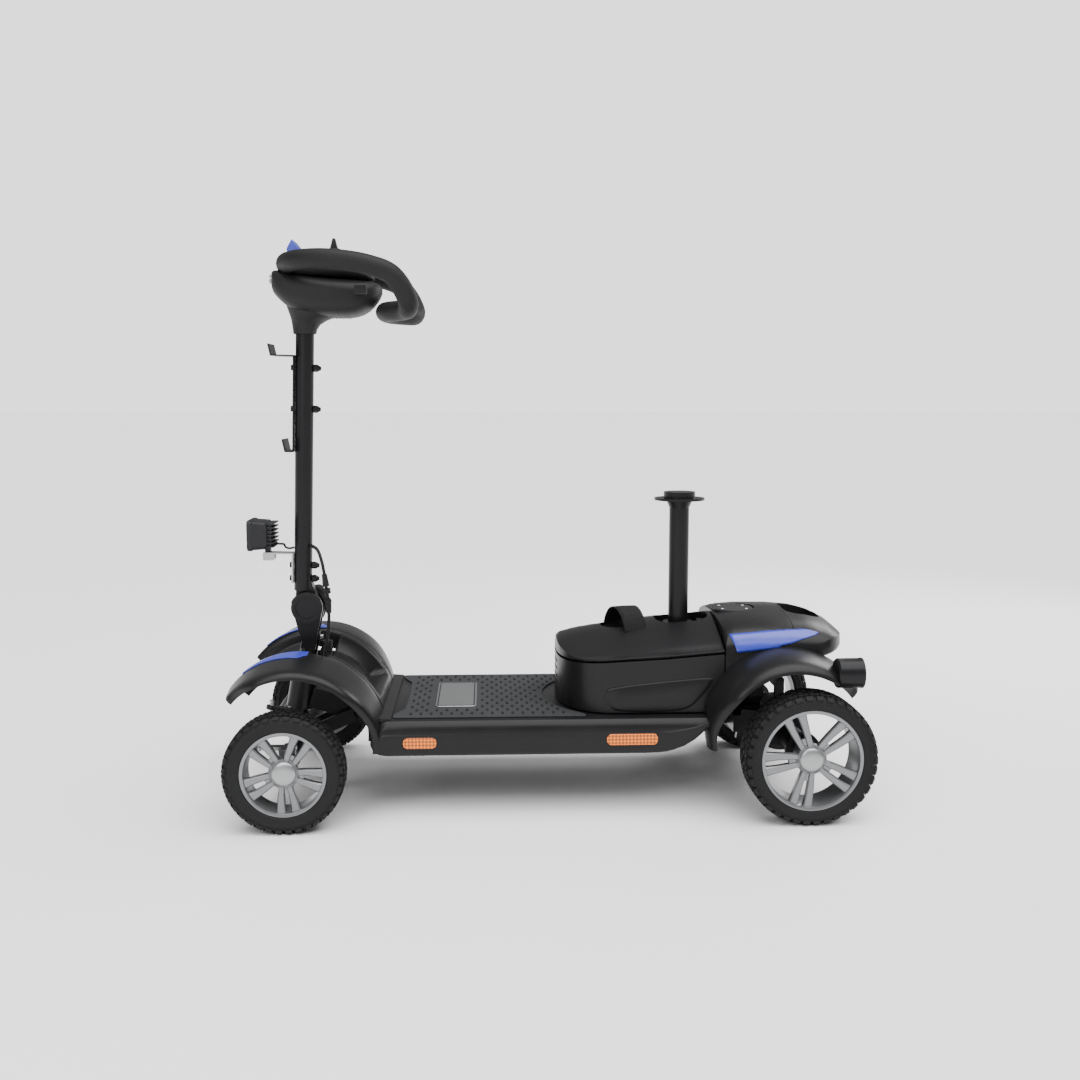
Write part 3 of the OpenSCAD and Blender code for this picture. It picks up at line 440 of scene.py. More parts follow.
def turned(bm, profile, centre, axis, steps, closed=True):
    """A profile of (radius, along) in millimetres, spun all round an axis ("X", "Y" or "Z")."""
    along = {"X": Vector((1, 0, 0)), "Y": Vector((0, 1, 0)), "Z": Vector((0, 0, 1))}[axis]
    out = {"X": Vector((0, 0, 1)), "Y": Vector((1, 0, 0)), "Z": Vector((1, 0, 0))}[axis]
    points = [centre + out * r * MM + along * a * MM for r, a in profile]
    before = set(bm.verts)
    edges = ring(bm, points, closed)
    verts = [v for v in bm.verts if v not in before]
    bmesh.ops.spin(bm, geom=verts + edges, cent=centre, axis=along, dvec=(0, 0, 0),
                   angle=TURN, steps=steps, use_merge=True, use_duplicate=False)


def bar(bm, size, matrix):
    """A box of a size in millimetres, placed by a matrix."""
    bmesh.ops.create_cube(bm, size=1.0, matrix=matrix @ Matrix.Diagonal((*[s * MM for s in size], 1)))


def rounded(w, h, r, steps=6, cx=0.0, cy=0.0):
    """A rounded rectangle as (x, y) rows."""
    rows = []
    for sx, sy, a0 in ((1, 1, 0), (-1, 1, 90), (-1, -1, 180), (1, -1, 270)):
        for i in range(steps + 1):
            a = math.radians(a0 + 90 * i / steps)
            rows.append((cx + sx * (w / 2 - r) + r * math.cos(a), cy + sy * (h / 2 - r) + r * math.sin(a)))
    return rows


def upright(x, z, w, h, r, steps=5):
    """A rounded rectangle that stands across the scooter, round the point (x, 0, z)."""
    return [at(x, y, z + up) for y, up in rounded(w, h, r, steps)]


def smooth_path(points, steps, closed=False):
    """A smooth line through points."""
    n = len(points)
    rows = []
    for i in range(n if closed else n - 1):
        pick = (lambda k: points[k % n]) if closed else (lambda k: points[min(max(k, 0), n - 1)])
        a, b, c, d = (Vector(pick(i + k)) for k in (-1, 0, 1, 2))
        for k in range(steps):
            t = k / steps
            rows.append(0.5 * (2 * b + (c - a) * t + (2 * a - 5 * b + 4 * c - d) * t * t
                               + (3 * b - a - 3 * c + d) * t ** 3))
    if not closed:
        rows.append(Vector(points[-1]))
    return rows


def tube(name, points, radius, finish_name, closed, sides):
    """A round tube along points, as a mesh."""
    line = bpy.data.curves.new(name, "CURVE")
    line.dimensions = "3D"
    line.bevel_depth = radius
    line.bevel_resolution = sides
    line.use_fill_caps = not closed
    spline = line.splines.new("POLY")
    spline.points.add(len(points) - 1)
    spline.use_cyclic_u = closed
    for i, p in enumerate(points):
        spline.points[i].co = (*p, 1)
    maker = linked(bpy.data.objects.new(name + "_line", line))
    mesh = baked_mesh(maker)
    bpy.data.objects.remove(maker)
    bm = bmesh.new()
    bm.from_mesh(mesh)
    return piece(name, bm, finish_name, angle=50)


class Maker:
    """What every maker here shares: it stops the script when it can't finish."""

    bl_options = {"REGISTER", "UNDO"}

    def execute(self, context):
        """Makes the pieces."""
        self.make()
        return {"FINISHED"}


# ---------- stage and CAD finishes ----------

CAD_FINISHES = {
    "Black steel": ("main_frame", "steering_stem", "column_tube", "fold_bolt", "basket_bracket", "column_bolts",
                    "seat_socket", "seat_post", "freewheel_lever"),
    "Dark casting": ("front_axle_beam", "transaxle", "drive_motor"),
    "Plain steel": ("left_knuckle", "right_knuckle", "tie_rod", "stem_bolts", "lamp_bracket"),
    "Brushed silver": ("motor_controller",),
    "Grained cover": ("throttle_paddle", "cable_connectors", "seat_latch", "cable_boot"),
    "Cell wrap": ("battery_cells",),
    "Red key": ("horn_button",),
}


# how bright the sky is as a light, and how bright the camera sees it
SKY_LIGHT, SKY_BEHIND = 0.35, 2.01
# the camera's place in millimetres, and how far it looks down and round in degrees
CAMERA_PLACE, CAMERA_DOWN, CAMERA_ROUND = (331.7, -2190.1, 706.5), 6.65, -2.52


class SCOOTER_OT_stage(Maker, bpy.types.Operator):
    """Makes the floor, the lights and the camera"""

    bl_idname = "scooter.stage"
    bl_label = "Studio"

    def make(self):
        bm = bmesh.new()
        bmesh.ops.create_grid(bm, x_segments=2, y_segments=2, size=60.0)
        floor = object_of("studio_floor", bm)
        pale = bpy.data.materials.new("Studio floor")
        pale.use_nodes = True
        shader = pale.node_tree.nodes["Principled BSDF"]
        shader.inputs["Base Color"].default_value = (*colours().floor, 1)
        shader.inputs["Roughness"].default_value = 0.85
        shader.inputs["Specular IOR Level"].default_value = 0.1
        floor.data.materials.append(pale)
        world = bpy.data.worlds.new("Studio light")
        bpy.context.scene.world = world
        world.use_nodes = True
        sky = world.node_tree.nodes["Background"]
        sky.inputs["Color"].default_value = (1, 1, 1, 1)
        rays, level = add_node(world.node_tree, "LightPath"), add_node(world.node_tree, "Math")
        level.operation = "MULTIPLY_ADD"
        level.inputs[1].default_value = SKY_BEHIND - SKY_LIGHT
        level.inputs[2].default_value = SKY_LIGHT
        world.node_tree.links.new(rays.outputs["Is Camera Ray"], level.inputs[0])
        world.node_tree.links.new(level.outputs[0], sky.inputs["Strength"])
        sun = bpy.data.lights.new("Overhead light", "SUN")
        sun.energy, sun.angle = 5.6, math.radians(70)
        over = linked(bpy.data.objects.new("Overhead light", sun))
        over.rotation_euler = (math.radians(14), math.radians(8), 0)
        self.lamp("Near softbox", (-1.6, -2.8, 2.0), (0, 0, 0.35), 1.6, 45)
        self.lamp("Rear strip", (1.9, 1.6, 1.6), (0.2, 0, 0.4), 1.2, 30)
        camera = linked(bpy.data.objects.new("Camera", bpy.data.cameras.new("Camera")))
        camera.location = at(*CAMERA_PLACE)
        camera.rotation_euler = (math.radians(90 - CAMERA_DOWN), 0, math.radians(CAMERA_ROUND))
        camera.data.sensor_width, camera.data.lens = 36, 40.63
        camera.data.clip_end = 60
        bpy.context.scene.camera = camera

    def lamp(self, name, where, aim, size, power):
        """A square soft light at a place, aimed at another."""
        light = bpy.data.lights.new(name, "AREA")
        light.shape, light.size, light.energy = "SQUARE", size, power
        obj = linked(bpy.data.objects.new(name, light))
        obj.location = where
        obj.rotation_euler = (Vector(aim) - Vector(where)).to_track_quat("-Z", "Y").to_euler()


class SCOOTER_OT_finishes(Maker, bpy.types.Operator):
    """Makes the finishes, and gives the plain parts of the frame theirs"""

    bl_idname = "scooter.finishes"
    bl_label = "Finishes"

    def make(self):
        make_finishes()
        own = {node: finish_name for finish_name, nodes in CAD_FINISHES.items() for node in nodes}
        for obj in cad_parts.values():
            obj.data.materials.clear()
            obj.data.materials.append(FINISHES[own.get(obj.name, "Grained cover")])


# ---------- wheels ----------

# the side, tyre radius, tyre width, rim diameter and count of shoulder blocks of each wheel
WHEELS = {
    "front_left": (-1, 100, 52, 139, 36),
    "front_right": (1, 100, 52, 139, 36),
    "rear_left": (-1, 111, 70, 168, 38),
    "rear_right": (1, 111, 70, 168, 38),
}
# where the first pair of spokes stands, in degrees
SPOKE_ANGLE = {"front": -83, "rear": 41}


class SCOOTER_OT_tyres(Maker, bpy.types.Operator):
    """Makes the four tyres, with ribs and shoulder blocks"""

    bl_idname = "scooter.tyres"
    bl_label = "Tyres"

    def make(self):
        depth = sizes().tread_depth / MM
        for name, (_, r, w, rim, blocks) in WHEELS.items():
            centre = centre_of(name + "_tyre")
            bm = bmesh.new()
            half, seat, floor = w / 2, rim / 2, r - depth
            right = [(floor, 0), (floor - 0.4, half * 0.5), (floor - 2.2, half * 0.78), (floor - 6, half * 0.95),
                     (floor - 11, half - 0.2), ((r + seat) / 2, half - 0.3), ((r + seat) / 2 - 1, half - 1.1),
                     (seat + 6, half - 1.8), (seat + 3, half - 2.6), (seat + 1.6, half - 4), (seat + 0.3, half - 6)]
            profile = right + [(a, -b) for a, b in reversed(right[1:])]
            turned(bm, profile, centre, "Y", 96)
            # centre rib and two rows of tread blocks, then the shoulder blocks
            for i in range(blocks * 2):
                a = TURN * i / (blocks * 2)
                odd = i % 2
                self.block(bm, centre, a, r - depth / 2 - 0.2, (1 if odd else -1) * half * 0.16,
                           (r * 0.075, half * 0.26, depth + 1.0), 18 if odd else -18)
                for out in (-1, 1):
                    self.block(bm, centre, a + 0.02 * out, r - depth / 2 - 0.6, out * half * 0.52,
                               (r * 0.066, half * 0.27, depth + 1.0), out * (24 if odd else 8))
            for i in range(blocks):
                a = TURN * (i + 0.5) / blocks
                for out in (-1, 1):
                    self.block(bm, centre, a, r - depth - 3.4, out * half * 0.86,
                               (r * 0.105, half * 0.24, depth + 3.6), 0, out * 38)
            bevel_edges(piece(name + "_tyre_rubber", bm, "Tyre rubber", name, [name + "_tyre"], 38, 1e-7), 0.35, 1, 50)

    def block(self, bm, centre, angle, radius, along, size, skew, tilt=0.0):
        """One block of tread, skewed across the tyre and tilted on its shoulder."""
        spin = Matrix.Rotation(angle, 4, "Y")
        place = (Matrix.Translation(centre) @ spin @ Matrix.Translation((0, along * MM, radius * MM))
                 @ Matrix.Rotation(math.radians(skew), 4, "Z") @ Matrix.Rotation(math.radians(-tilt), 4, "X"))
        bar(bm, size, place)


class SCOOTER_OT_wheels(Maker, bpy.types.Operator):
    """Makes the four cast wheels, with paired slotted spokes and domed caps"""

    bl_idname = "scooter.wheels"
    bl_label = "Wheels"

    def make(self):
        count = sizes().spokes
        for name, (side, _, w, rim, _) in WHEELS.items():
            centre = centre_of(name + "_tyre")
            seat, lip = rim / 2, w / 2 - 5
            bm = bmesh.new()
            profile = [(seat + 0.1, -lip), (seat + 0.1, lip - 1.5), (seat + 1.2, lip - 0.2), (seat + 1.0, lip + 0.8),
                       (seat - 0.6, lip + 1.0), (seat - 4.4, lip - 0.6), (seat - 5.6, lip - 3.5),
                       (seat - 6.4, lip - 9), (seat - 7.2, 0), (seat - 7.2, -lip), (seat - 5.0, -lip)]
            turned(bm, [(a, side * b) for a, b in profile], centre, "Y", 96)
            hub = [(0.5, lip - 8), (22, lip - 8), (24, lip - 6), (25.5, lip - 9), (26, lip - 18), (20, -lip + 6),
                   (0.5, -lip + 6)]
            turned(bm, [(a, side * b) for a, b in hub], centre, "Y", 48)
            start = math.radians(SPOKE_ANGLE[name.split("_")[0]])
            for i in range(count):
                self.spoke_pair(bm, centre, start + TURN * i / count, seat, lip, side)
            bevel_edges(piece(name + "_cast", bm, "Cast silver", name, [name + "_wheel"], 32, 1e-7), 0.9, 2, 45)
            bm = bmesh.new()
            cap = [(0.01, lip - 1.6), (8, lip - 1.8), (14, lip - 2.6), (18.6, lip - 4.2), (20.4, lip - 6),
                   (21, lip - 8.3), (0.01, lip - 8.3)]
            turned(bm, [(a, side * b) for a, b in cap], centre, "Y", 48, False)
            bmesh.ops.holes_fill(bm, edges=bm.edges)
            piece(name + "_cap", bm, "Brushed silver", name, [], 40)

    def spoke_pair(self, bm, centre, angle, seat, lip, side):
        """Two curved ribs that part from the hub and spread to the rim, over a recessed web."""
        turn = Matrix.Translation(centre) @ Matrix.Rotation(-angle, 4, "Y")
        inner, outer = 20.0, seat - 5.5
        for hand in (-1, 1):
            rings = []
            for i in range(9):
                t = i / 8
                x = inner + (outer - inner) * t
                mid = hand * (6.4 + 6.0 * t ** 1.3 + 1.2 * math.sin(HALF_TURN * t))
                wide = 4.6 + 2.6 * t + 0.9 * max(0, t - 0.8) * 5
                high = lip - 7.2 + 3.6 * t ** 1.5
                low = high - 11
                section = [(mid - wide, low), (mid - wide, high - 2.2), (mid - wide * 0.72, high),
                           (mid + wide * 0.72, high), (mid + wide, high - 2.2), (mid + wide, low)]
                rings.append([turn @ Vector((x * MM, side * y * MM, z * MM)) for z, y in section])
            loft(bm, rings)
        web = []
        for i in range(5):
            t = i / 4
            x = inner + (outer - inner) * 0.30 * t
            web.append([turn @ Vector((x * MM, side * y * MM, z * MM))
                        for z, y in ((-8, lip - 19), (-8, lip - 10), (8, lip - 10), (8, lip - 19))])
        loft(bm, web)


# ---------- floor ----------

PLAQUE_X = 276


class SCOOTER_OT_floor(Maker, bpy.types.Operator):
    """Makes the moulded floor, its mat with raised bars, its plaque and the side reflectors"""

    bl_idname = "scooter.floor"
    bl_label = "Floor"

    def make(self):
        low = [(134, 123), (138, 112), (147, 106), (160, 104), (615, 104), (640, 106.5), (662, 113), (682, 124),
               (698, 138), (711, 152)]
        top = [(134, 137), (140, 147), (150, 160), (158, 165), (711, 165)]
        rings = []
        for x in (134, 136, 139, 143, 148, 154, 162, 200, 420, 600, 625, 637, 650, 667, 685, 699, 711):
            z0, z1 = lerp_table(low, x), lerp_table(top, x)
            tall = z1 - z0
            half = [(168, 0), (178, 1.2), (181.2, 5), (182, 0.45 * tall), (182, 0.60 * tall), (180.8, 0.635 * tall),
                    (180.8, tall - 15), (178, tall - 8), (172.5, tall - 1.2), (168, tall)]
            rings.append([at(x, y, z0 + h) for y, h in half] + [at(x, -y, z0 + h) for y, h in reversed(half)])
        deck = piece("floor_moulding", fresh(loft, rings), "Satin cover", "chassis", ["deck_shell"], 30)
        bevel_edges(deck, 1.2, 2, 28)
        self.mat()
        self.reflectors()

    def edge(self, y):
        """Where the mat stops in front of the battery, at a distance from the centre line."""
        return 622 - math.sqrt(max(0.0, 190 ** 2 - y * y))

    def mat(self):
        """The mat with its staggered bars, and the plaque with its line."""
        half, steps = 160, 32
        rows = [(174, half), (170, half - 5), (170.5, half - 20), (180, half - 42), (188, half - 60), (190, 0)]
        front = rows + [(x, -y) for x, y in reversed(rows[:-1])]
        back = [(min(500, self.edge(y)), y) for y in (-half + 2 * half * i / steps for i in range(steps + 1))]
        sheet = fresh(flat, front + back, 165.05, 167.4)
        bevel_edges(piece("floor_mat_sheet", sheet, "Mat rubber", "chassis", ["floor_mat"], 30), 0.7, 2, 40)
        bm = bmesh.new()
        pitch_x, pitch_y = 17.5, 23.0
        for j in range(-6, 7):
            for i in range(16):
                x, y = 200 + i * pitch_x + (pitch_x / 2 if j % 2 else 0), j * pitch_y
                near_plaque = abs(x - PLAQUE_X) < 44 and abs(y) < 98
                if not (near_plaque or x > min(492, self.edge(abs(y) + 8)) - 12 or abs(y) > 148):
                    bar(bm, (4.2, 11.5, 1.6), Matrix.Translation(at(x, y, 167.9)))
        bevel_edges(piece("floor_mat_bars", bm, "Tyre rubber", "chassis", [], 30, 1e-7), 0.6, 1, 40)
        plate = fresh(flat, rounded(72, 183, 8, 6, PLAQUE_X, 0), 167.2, 168.6)
        bevel_edges(piece("floor_plaque", plate, "Brushed silver", "chassis", ["floor_badge"], 30), 0.7, 2, 40)
        edges = [[at(x, y, 168.61) for x, y in rounded(w, h, r, 6, PLAQUE_X, 0)]
                 for w, h, r in ((66, 177, 6), (62, 173, 5))]
        line = piece("floor_plaque_line", fresh(loft, edges, False), "Dark casting", "chassis", [], 30)
        modifier(line, "SOLIDIFY", thickness=0.00035, offset=1)

    def reflectors(self):
        """Two amber reflectors on each side, in black frames."""
        for end, x0, x1, z in (("front", 189, 245, 128), ("rear", 534, 621, 130.5)):
            for side, tag in SIDES:
                for part, grow, y0, y1, finish_name, nodes in (
                        ("frame", 1.6, 180.6, 182.5, "Grained cover", []),
                        ("lens", 0, 181.0, 183.4, "Amber prisms", ["side_reflectors"])):
                    outline = rounded(x1 - x0 + 2 * grow, 19 + 2 * grow, 8 + grow, 6, (x0 + x1) / 2, z)
                    bevel_edges(piece(f"reflector_{part}_{end}_{tag}", fresh(slab, outline, side * y0, side * y1),
                                      finish_name, "chassis", nodes, 30), 0.6, 2, 40)


# ---------- front shroud and rear fenders ----------


# the section across each arch: rows of the radial rise and the share of the width from the inside out
ARCH_SECTIONS = {
    "front": ((-16, 0.0), (6, 0.0), (13, 0.012), (17, 0.035), (18.4, 0.09), (18.2, 0.22), (17, 0.42), (15, 0.62),
              (13.4, 0.80), (11.5, 0.90), (8.4, 0.965), (4, 0.992), (-1.5, 1.0)),
    "rear": ((27, -0.02), (26.6, 0.08), (25, 0.30), (22, 0.55), (18, 0.76), (13, 0.90), (7, 0.97), (0, 1.0)),
}
# the centre (x, z) of each arch, its radius and how far from the centre line it starts
FRONT_HUB, FRONT_RADIUS, FRONT_INNER = (9, 122), 131, 106
REAR_HUB, REAR_RADIUS, REAR_INNER = (845, 130), 124, 149


def arch(name, kind, centre, radius, inner, width_at, angles, side, finish_name, rise_at=None, steps=56):
    """A moulded arch: its section carried round the wheel, its outer edge drawn in where it meets the floor."""
    rows = []
    for i in range(steps + 1):
        a = angles[0] + (angles[1] - angles[0]) * i / steps
        outer = width_at(a)
        rise = rise_at(a) if rise_at else 1.0
        rows.append([on_arc(centre, radius + h * rise, math.radians(a), side * (inner + (outer - inner) * u))
                     for h, u in ARCH_SECTIONS[kind]])
    hub = at(centre[0], side * (inner + 40), centre[1])
    return bevel_edges(skin_piece(name, rows, lambda face: face.normal.dot(face.calc_center_median() - hub),
                                  finish_name, "chassis", (), 60, sizes().wall), 0.9, 2, 50)


def front_width(a):
    """How far out the front arch reaches at an angle, drawn in at the floor and at the nose."""
    return 184 + 56 * smooth_step((a + 2) / 52) - 34 * smooth_step((a - 112) / 30)


def rear_width(a):
    """How far out the rear fender reaches at an angle, drawn in at the floor and at the tail."""
    return 244 - 60 * smooth_step((a - 138) / 50) - 26 * smooth_step((62 - a) / 24)


class SCOOTER_OT_front_shroud(Maker, bpy.types.Operator):
    """Makes the front arches, the sunk panel between them and the two blue blades"""

    bl_idname = "scooter.front_shroud"
    bl_label = "Front shroud"

    def make(self):
        for side, tag in SIDES:
            arch("front_arch_" + tag, "front", FRONT_HUB, FRONT_RADIUS, FRONT_INNER, front_width,
                               (-5, 141), side, "Satin cover")
            self.blade(side, tag)
        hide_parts("front_shroud")
        self.well()

    def blade(self, side, tag):
        """A blue blade on the crown: broad at the back, and drawn out to a point at the front."""
        rows = []
        for i in range(25):
            t = i / 24
            wide = 44 * (1 - 0.72 * t ** 1.5) if t > 0.12 else 44 * (0.55 + 0.45 * smooth_step(t / 0.12))
            ys = [112 + wide * u for u in (0.0, 0.25, 0.5, 0.75, 1.0)]
            rows.append([on_arc(FRONT_HUB, FRONT_RADIUS + (18.9 - 3.6 * ((y - 112) / 84) ** 1.2),
                                math.radians(84 + 46 * t), side * y) for y in ys])
        bevel_edges(skin_piece("front_blade_" + tag, rows, lambda face: face.normal.z, "Accent blue", "chassis",
                               ["front_trims"] if side < 0 else [], 40, 0.0016, 1), 0.5, 2, 40)

    def well(self):
        """The sunk panel behind the stem with its raised ribs, the panel in front of it, and the ramp to the floor."""
        well = ((29.5, -112), (30.5, -92), (28.5, -87), (5, -81), (0, -72), (0, 0), (0, 72), (5, 81), (28.5, 87),
                (30.5, 92), (29.5, 112))
        front = ((14, -107), (5, -105), (4, -98), (2, -40), (1.4, 0), (2, 40), (4, 98), (5, 105), (14, 107))
        for name, a0, a1, finish_name, nodes, section in (
                ("shroud_well", -2, 72, "Satin cover", [], well),
                ("shroud_front_panel", 101, 138, "Panel grey", ["shroud_panel"], front)):
            rows = []
            for i in range(31):
                a = a0 + (a1 - a0) * i / 30
                sunk = smooth_step((a - 26) / 6) if name == "shroud_well" else 1
                rows.append([on_arc(FRONT_HUB, 118 + 30.5 * (1 - sunk) + h * sunk, math.radians(a), y)
                             for h, y in section])
            skin_piece(name, rows, lambda face: face.normal.z, finish_name, "chassis", nodes, 50, sizes().wall)
        bm = bmesh.new()
        for y in range(-60, 61, 20):
            rings = []
            for i in range(9):
                a = math.radians(34 + 32 * i / 8)
                rings.append([on_arc(FRONT_HUB, 117 + h, a, y + w)
                              for h, w in ((-2, -2), (1.6, -1.4), (1.6, 1.4), (-2, 2))])
            loft(bm, rings)
        piece("shroud_well_ribs", bm, "Grained cover", "chassis", [], 30, 1e-7)
        across = ((-168, -6), (-168, 0), (-150, 0.6), (0, 0.2), (150, 0.6), (168, 0), (168, -6))
        ramp = [[at(x, y, z + h) for y, h in across] for x, z in ((128, 176), (138, 170), (150, 167.6), (168, 166.4))]
        piece("shroud_ramp", fresh(loft, ramp), "Satin cover", "chassis", [], 40)


class SCOOTER_OT_rear_fenders(Maker, bpy.types.Operator):
    """Makes the two rear fenders"""

    bl_idname = "scooter.rear_fenders"
    bl_label = "Rear fenders"

    def make(self):
        for side, tag in SIDES:
            arch("rear_fender_" + tag, "rear", REAR_HUB, REAR_RADIUS, REAR_INNER, rear_width,
                             (38, 190), side, "Satin cover", lambda a: 1 - 0.55 * smooth_step((a - 150) / 40))
        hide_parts("rear_fenders")


# ---------- battery pack and rear cover ----------


def blunt_plan(x0, x1, half, nose, power=2.6, count=26):
    """A plan with a blunt round nose at x0 and a square back at x1, as (x, y) rows."""
    rows = []
    for i in range(count + 1):
        a = HALF_TURN * (0.5 + i / count)
        rows.append((x0 + nose + nose * blunt(math.cos(a), power), half * blunt(math.sin(a), power)))
    back = [(x0 + nose + (x1 - x0 - nose) * t, -half) for t in (0.2, 0.4, 0.6, 0.8, 0.93, 1.0)]
    side = [(x1, -half + 2 * half * t / 10) for t in range(1, 10)]
    front = [(x, -y) for x, y in reversed(back)]
    return rows + back + side + front


def drawn_in(plan, spine, share):
    """The plan drawn in towards a line on the middle from spine[0] to spine[1]."""
    rows = []
    for x, y in plan:
        cx = min(max(x, spine[0]), spine[1])
        rows.append((x + (cx - x) * share, y * (1 - share)))
    return rows


def crowned_body(bm, plan, spine, foot_z, belt_z, top_z, shares, belt_in=0.0):
    """A moulded body: its foot, a belt line and a crown whose height depends on the place."""
    rings = [[at(x, y, foot_z(x)) for x, y in drawn_in(plan, spine, 0.02)],
             [at(x, y, foot_z(x) + 3) for x, y in plan],
             [at(x, y, belt_z(x, y)) for x, y in drawn_in(plan, spine, belt_in)]]
    for share in shares:
        rings.append([at(x, y, top_z(x, y)) for x, y in drawn_in(plan, spine, share)])
    loft(bm, rings, False)
    bmesh.ops.remove_doubles(bm, verts=bm.verts, dist=1e-6)
    bmesh.ops.holes_fill(bm, edges=[e for e in bm.edges if e.is_boundary])


# the lid's height along its middle, how far it falls towards its sides, and how far in each ring of a crown lies
CROWN = ((456, 272), (464, 281), (490, 288), (532, 295), (584, 303), (661, 311), (739, 317))
FALL = ((0, 0), (30, 3), (60, 11), (90, 20), (115, 28), (135, 36), (146, 43), (150, 48))
SHARES = (0.012, 0.03, 0.06, 0.11, 0.18, 0.28, 0.42, 0.6, 0.8, 0.985)


def lid_top(x, y):
    """The height of the battery lid at a place."""
    return lerp_table(CROWN, x) - lerp_table(FALL, abs(y))


# where the battery's nose and back are, its half width, and how long the round of its nose is
BATTERY = (456, 739, 150, 112)
POST_WELL = rounded(96, 84, 30, 8, 685, 0)


class SCOOTER_OT_battery(Maker, bpy.types.Operator):
    """Makes the battery pack: its case with grooved front, its crowned lid and the hand recess"""

    bl_idname = "scooter.battery"
    bl_label = "Battery pack"

    def make(self):
        plan = blunt_plan(*BATTERY)
        spine = (560, 700)
        belt = ((456, 250), (560, 258), (640, 262), (739, 270))
        bm = bmesh.new()
        crowned_body(bm, plan, spine, lambda x: 165.3, lambda x, y: 200, lambda x, y: lerp_table(belt, x) - 1.2,
                     (0.0, 0.03, 0.5, 0.96))
        case = piece("battery_case_moulding", bm, "Satin cover", "battery", ["battery_case"], 35)
        self.open_well(case, 160, 300)
        self.grooves(case)
        bevel_edges(case, 0.7, 2, 40)
        bm = bmesh.new()
        crowned_body(bm, plan, spine, lambda x: lerp_table(belt, x) + 0.4, lambda x, y: lerp_table(belt, x) + 5,
                     lambda x, y: max(lid_top(x, y), lerp_table(belt, x) + 6), SHARES)
        lid = piece("battery_lid_moulding", bm, "Satin cover", "battery", ["battery_lid"], 38)
        cut(lid, self.recess())
        self.open_well(lid, 160, 400)
        bevel_edges(lid, 0.9, 3, 40)
        self.front_mark()
        self.side_bulges()

    def open_well(self, obj, z0, z1):
        """Cuts the seat post's well."""
        cut(obj, cutter_of("well", flat, POST_WELL, z0, z1))

    def recess(self):
        """What the hand recess under the strap takes out of the lid."""
        bm = bmesh.new()
        turned(bm, [(0.01, 0), (30, 0), (36, 5), (39, 60), (0.01, 60)], at(574, 0, 284), "Z", 40, False)
        bmesh.ops.holes_fill(bm, edges=bm.edges)
        return piece("recess_cutter", bm, "Satin cover")

    def grooves(self, case):
        """Cuts four short vent grooves low on the nose, each shorter than the one below."""
        for i in range(4):
            cut(case, cutter_of("groove", bar, (5, 92 - 6 * i, 4), Matrix.Translation(at(BATTERY[0], 0, 196 + 13 * i))))

    def front_mark(self):
        """A shallow raised panel on the nose."""
        rings = [[at(462 - out + 0.0009 * y * y, y, z)
                  for y, z in rounded(76 + 2 * grow, 34 + 2 * grow, 8 + grow / 2, 5, 0, 228)]
                 for grow, out in ((0, 0), (0, 0.9), (-3, 1.3))]
        piece("battery_nose_panel", fresh(loft, rings), "Grained cover", "battery", [], 40)

    def side_bulges(self):
        """The long pads that stand out from the sides of the case."""
        outline = [(536, 206), (560, 214), (640, 223), (714, 228), (718, 220), (700, 196), (664, 172), (560, 171),
                   (540, 186)]
        path = smooth_path([Vector((x, 0, z)) for x, z in outline], 4, True)
        for side, tag in SIDES:
            rings = [[at(628 + (p.x - 628) * grow, side * y, 198 + (p.z - 198) * grow) for p in path]
                     for grow, y in ((1.0, 148.0), (1.0, 150.4), (0.965, 151.6), (0.90, 152.3))]
            piece("battery_side_pad_" + tag, fresh(loft, rings), "Satin cover", "battery", [], 40)


STRAP_TURN = math.radians(14)
STRAP_X = 584


class SCOOTER_OT_strap(Maker, bpy.types.Operator):
    """Makes the carrying strap over the battery's hand recess"""

    bl_idname = "scooter.strap"
    bl_label = "Carrying strap"

    def make(self):
        wide, radius, middle, sweep = 42.0, 62.1, 266.0, 132
        steps, across = 40, 6
        cosine, sine = math.cos(STRAP_TURN), math.sin(STRAP_TURN)
        rows = []
        for i in range(steps + 1):
            a = math.radians(24 + sweep * i / steps)
            y = -(radius + 0.6 * math.sin(math.radians(2 * (a * 180 / HALF_TURN - 90)))) * math.cos(a)
            row = []
            for k in range(across + 1):
                x = wide * (k / across - 0.5)
                z = middle + radius * math.sin(a) - 0.5 * abs(k / across - 0.5) * 2
                row.append(at(STRAP_X + x * cosine - y * sine, x * sine + y * cosine, z))
            rows.append(row)

        def mapped(bm):
            """Lays the strap's own map along and across it."""
            uv = bm.loops.layers.uv.new("UVMap")
            for face in bm.faces:
                for corner in face.loops:
                    p = corner.vert.co - at(STRAP_X, 0, 0)
                    along = math.atan2(corner.vert.co.z - middle * MM, p.y) * radius * MM
                    corner[uv].uv = ((p.x * cosine + p.y * sine) / (wide * MM) + 0.5, along / (wide * MM))

        strap = skin_piece("carrying_strap", rows, lambda face: face.normal.z, "Strap webbing", "battery",
                           ["battery_strap"], 50, sizes().strap_thick, 0, mapped)


# the rear cover's height along its middle, its lower edge, and how far it falls towards its sides
REAR_TOP = ((741, 320), (760, 325), (800, 328), (862, 327.5), (900, 324), (930, 316), (950, 305), (966, 291))
REAR_FOOT = ((741, 207), (761, 209), (778, 242), (820, 250), (858, 256), (922, 265), (966, 275))
REAR_FALL = ((0, 0), (50, 2.5), (85, 6.5), (110, 12), (130, 20), (142, 30), (150, 46))


def rear_foot(x):
    """The height of the rear cover's lower edge."""
    return lerp_table(REAR_FOOT, x)


def rear_top(x, y):
    """The height of the rear cover at a place."""
    return max(lerp_table(REAR_TOP, x) - lerp_table(REAR_FALL, abs(y)), rear_foot(x) + 8)


